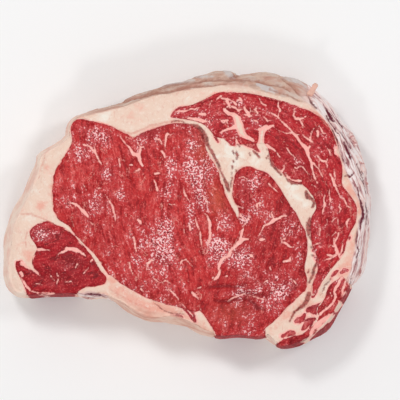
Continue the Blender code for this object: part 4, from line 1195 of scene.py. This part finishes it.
def fat_material():
    """The cut fat, the tan back and the silverskin of the rib side."""
    material, g, shader, place, colour, height, rough = meat_material(
        "fat and silverskin", srgb(136, 22, 36), srgb(186, 50, 56), srgb(214, 104, 100), 0.4)
    # the fat's walls away from the lean, in a lighter cream: painted light
    lit_wall_fat = g.mix(g.stretch(g.noise(place, 9, 4), 0.32, 0.72), srgb(250, 226, 210), srgb(242, 196, 180))
    colour = g.mix(g.attribute("lit_outer_wall"), colour, lit_wall_fat)
    trail = g.noise(g.squeezed(g.attribute("side", "Vector"), (0.7, 0.8, 1)), 1.4, 3, 0.6, 0.5)
    rind = g.mix(g.stretch(trail, 0.34, 0.64), srgb(222, 164, 146), srgb(244, 208, 190))
    rind = g.mix(g.stretch(trail, 0.36, 0.26, 0, 0.6), rind, srgb(190, 124, 106))
    colour = g.mix(g.attribute("rind"), colour, rind)
    cloud = g.noise(place, 9, 3, 0.6, 0.6)
    streak = g.noise(g.squeezed(g.attribute("side", "Vector"), (1, 0.6, 1)), 1.6, 3, 0.6, 0.5)
    back = g.mix(g.stretch(cloud, 0.36, 0.62), srgb(202, 158, 140), srgb(220, 188, 170))
    back = g.mix(g.stretch(g.noise(place, 16, 3), 0.5, 0.62, 0, 0.7), back, srgb(206, 152, 136))
    back = g.mix(g.stretch(streak, 0.5, 0.66, 0, 0.6), back, srgb(218, 204, 194))
    back = g.mix(g.stretch(streak, 0.46, 0.3, 0, 0.5), back, srgb(160, 118, 106))
    rag = g.blend_of((g.noise(place, 2.4, 2), 2.0), (-1.0, 1.0))
    pale = g.stretch(g.sum_up("ADD", g.attribute("pale_mm"), rag), -0.5, 0.6, 0, 0.9)
    back = g.mix(pale, back, g.mix(streak, srgb(196, 184, 184), srgb(236, 228, 222)))
    # the sunk folds of the back, darkened with painted shade
    fold_shade = g.stretch(g.sum_up("ADD", g.attribute("fold_shade_mm"), rag), -0.8, 0.6, 0, 0.75)
    back = g.mix(fold_shade, back, srgb(168, 108, 90))
    colour = g.mix(g.attribute("tan"), colour, back)
    skin = g.use(silverskin, Side=g.attribute("side", "Vector"), Strand=g.attribute("strand"), Place=place,
                 Gap_mm=g.attribute("gap_mm"), Wall=g.attribute("wall"))
    cover = g.attribute("silver")
    colour = g.mix(cover, colour, skin["Colour"])
    height = g.stretch(cover, 0, 1, height, skin["Height"], False)
    finish_surface(g, shader, colour, height, rough)
    return material


materials = {
    "eye_muscle": lean_material("eye lean", srgb(150, 10, 20), srgb(196, 42, 44), srgb(222, 88, 82), 0.5),
    "inner_muscle": lean_material("inner lean", srgb(142, 8, 20), srgb(188, 34, 38), srgb(210, 78, 72), 0.3),
    "cap_muscle": lean_material("cap lean", srgb(142, 6, 20), srgb(186, 28, 38), srgb(208, 64, 64), 0.5),
    "side_muscle": lean_material("side lean", srgb(122, 0, 14), srgb(172, 12, 28), srgb(202, 52, 58), 0.1),
    "edge_muscle": lean_material("rib end lean", srgb(132, 6, 18), srgb(186, 28, 36), srgb(212, 80, 78), 0.5),
    "fat": fat_material(),
}
for node, piece in pieces.items():
    piece.data.materials.append(materials[node])
for piece in shreds:
    piece.data.materials.append(materials["fat"])


# Floor, light and camera

def add_stage():
    bpy.ops.object.select_all(action="DESELECT")
    bpy.ops.mesh.primitive_plane_add(size=6, location=(0, 0, -0.0002))
    floor = bpy.context.object
    floor.name = "floor"
    material = bpy.data.materials.new("floor")
    material.use_nodes = True
    shader = material.node_tree.nodes["Principled BSDF"]
    shader.inputs["Base Color"].default_value = (0.93, 0.93, 0.93, 1)
    shader.inputs["Roughness"].default_value = 0.9
    floor.data.materials.append(material)


def add_lamp(name, location, size, power):
    bpy.ops.object.light_add(type="AREA", location=location)
    lamp = bpy.context.object
    lamp.name = name
    lamp.data.size = size
    lamp.data.energy = power
    lamp.rotation_euler = (Vector((0, 0, 0.03)) - Vector(location)).to_track_quat("-Z", "Y").to_euler()


def add_camera():
    x, y = (VIEW_MIDDLE + LAYOUT_SHIFT) * MM
    bpy.ops.object.camera_add(location=(x, y, TOP + VIEW_HEIGHT))
    camera = bpy.context.object
    camera.data.sensor_width = SENSOR_WIDTH
    camera.data.lens = SENSOR_WIDTH * VIEW_HEIGHT / VIEW_WIDTH
    bpy.context.scene.camera = camera


add_stage()
add_lamp("key", (-0.3, 0.42, 1.1), 0.16, 3.2)
add_lamp("side", (0.5, 0.25, 1.0), 0.16, 1.8)
add_lamp("front", (-0.1, -0.6, 1.0), 0.16, 1.6)
add_camera()
world = bpy.context.scene.world or bpy.data.worlds.new("World")
bpy.context.scene.world = world
world.use_nodes = True
world.node_tree.nodes["Background"].inputs["Color"].default_value = (1, 1, 1, 1)
world.node_tree.nodes["Background"].inputs["Strength"].default_value = 0.58
bpy.context.scene.view_settings.view_transform = "Standard"
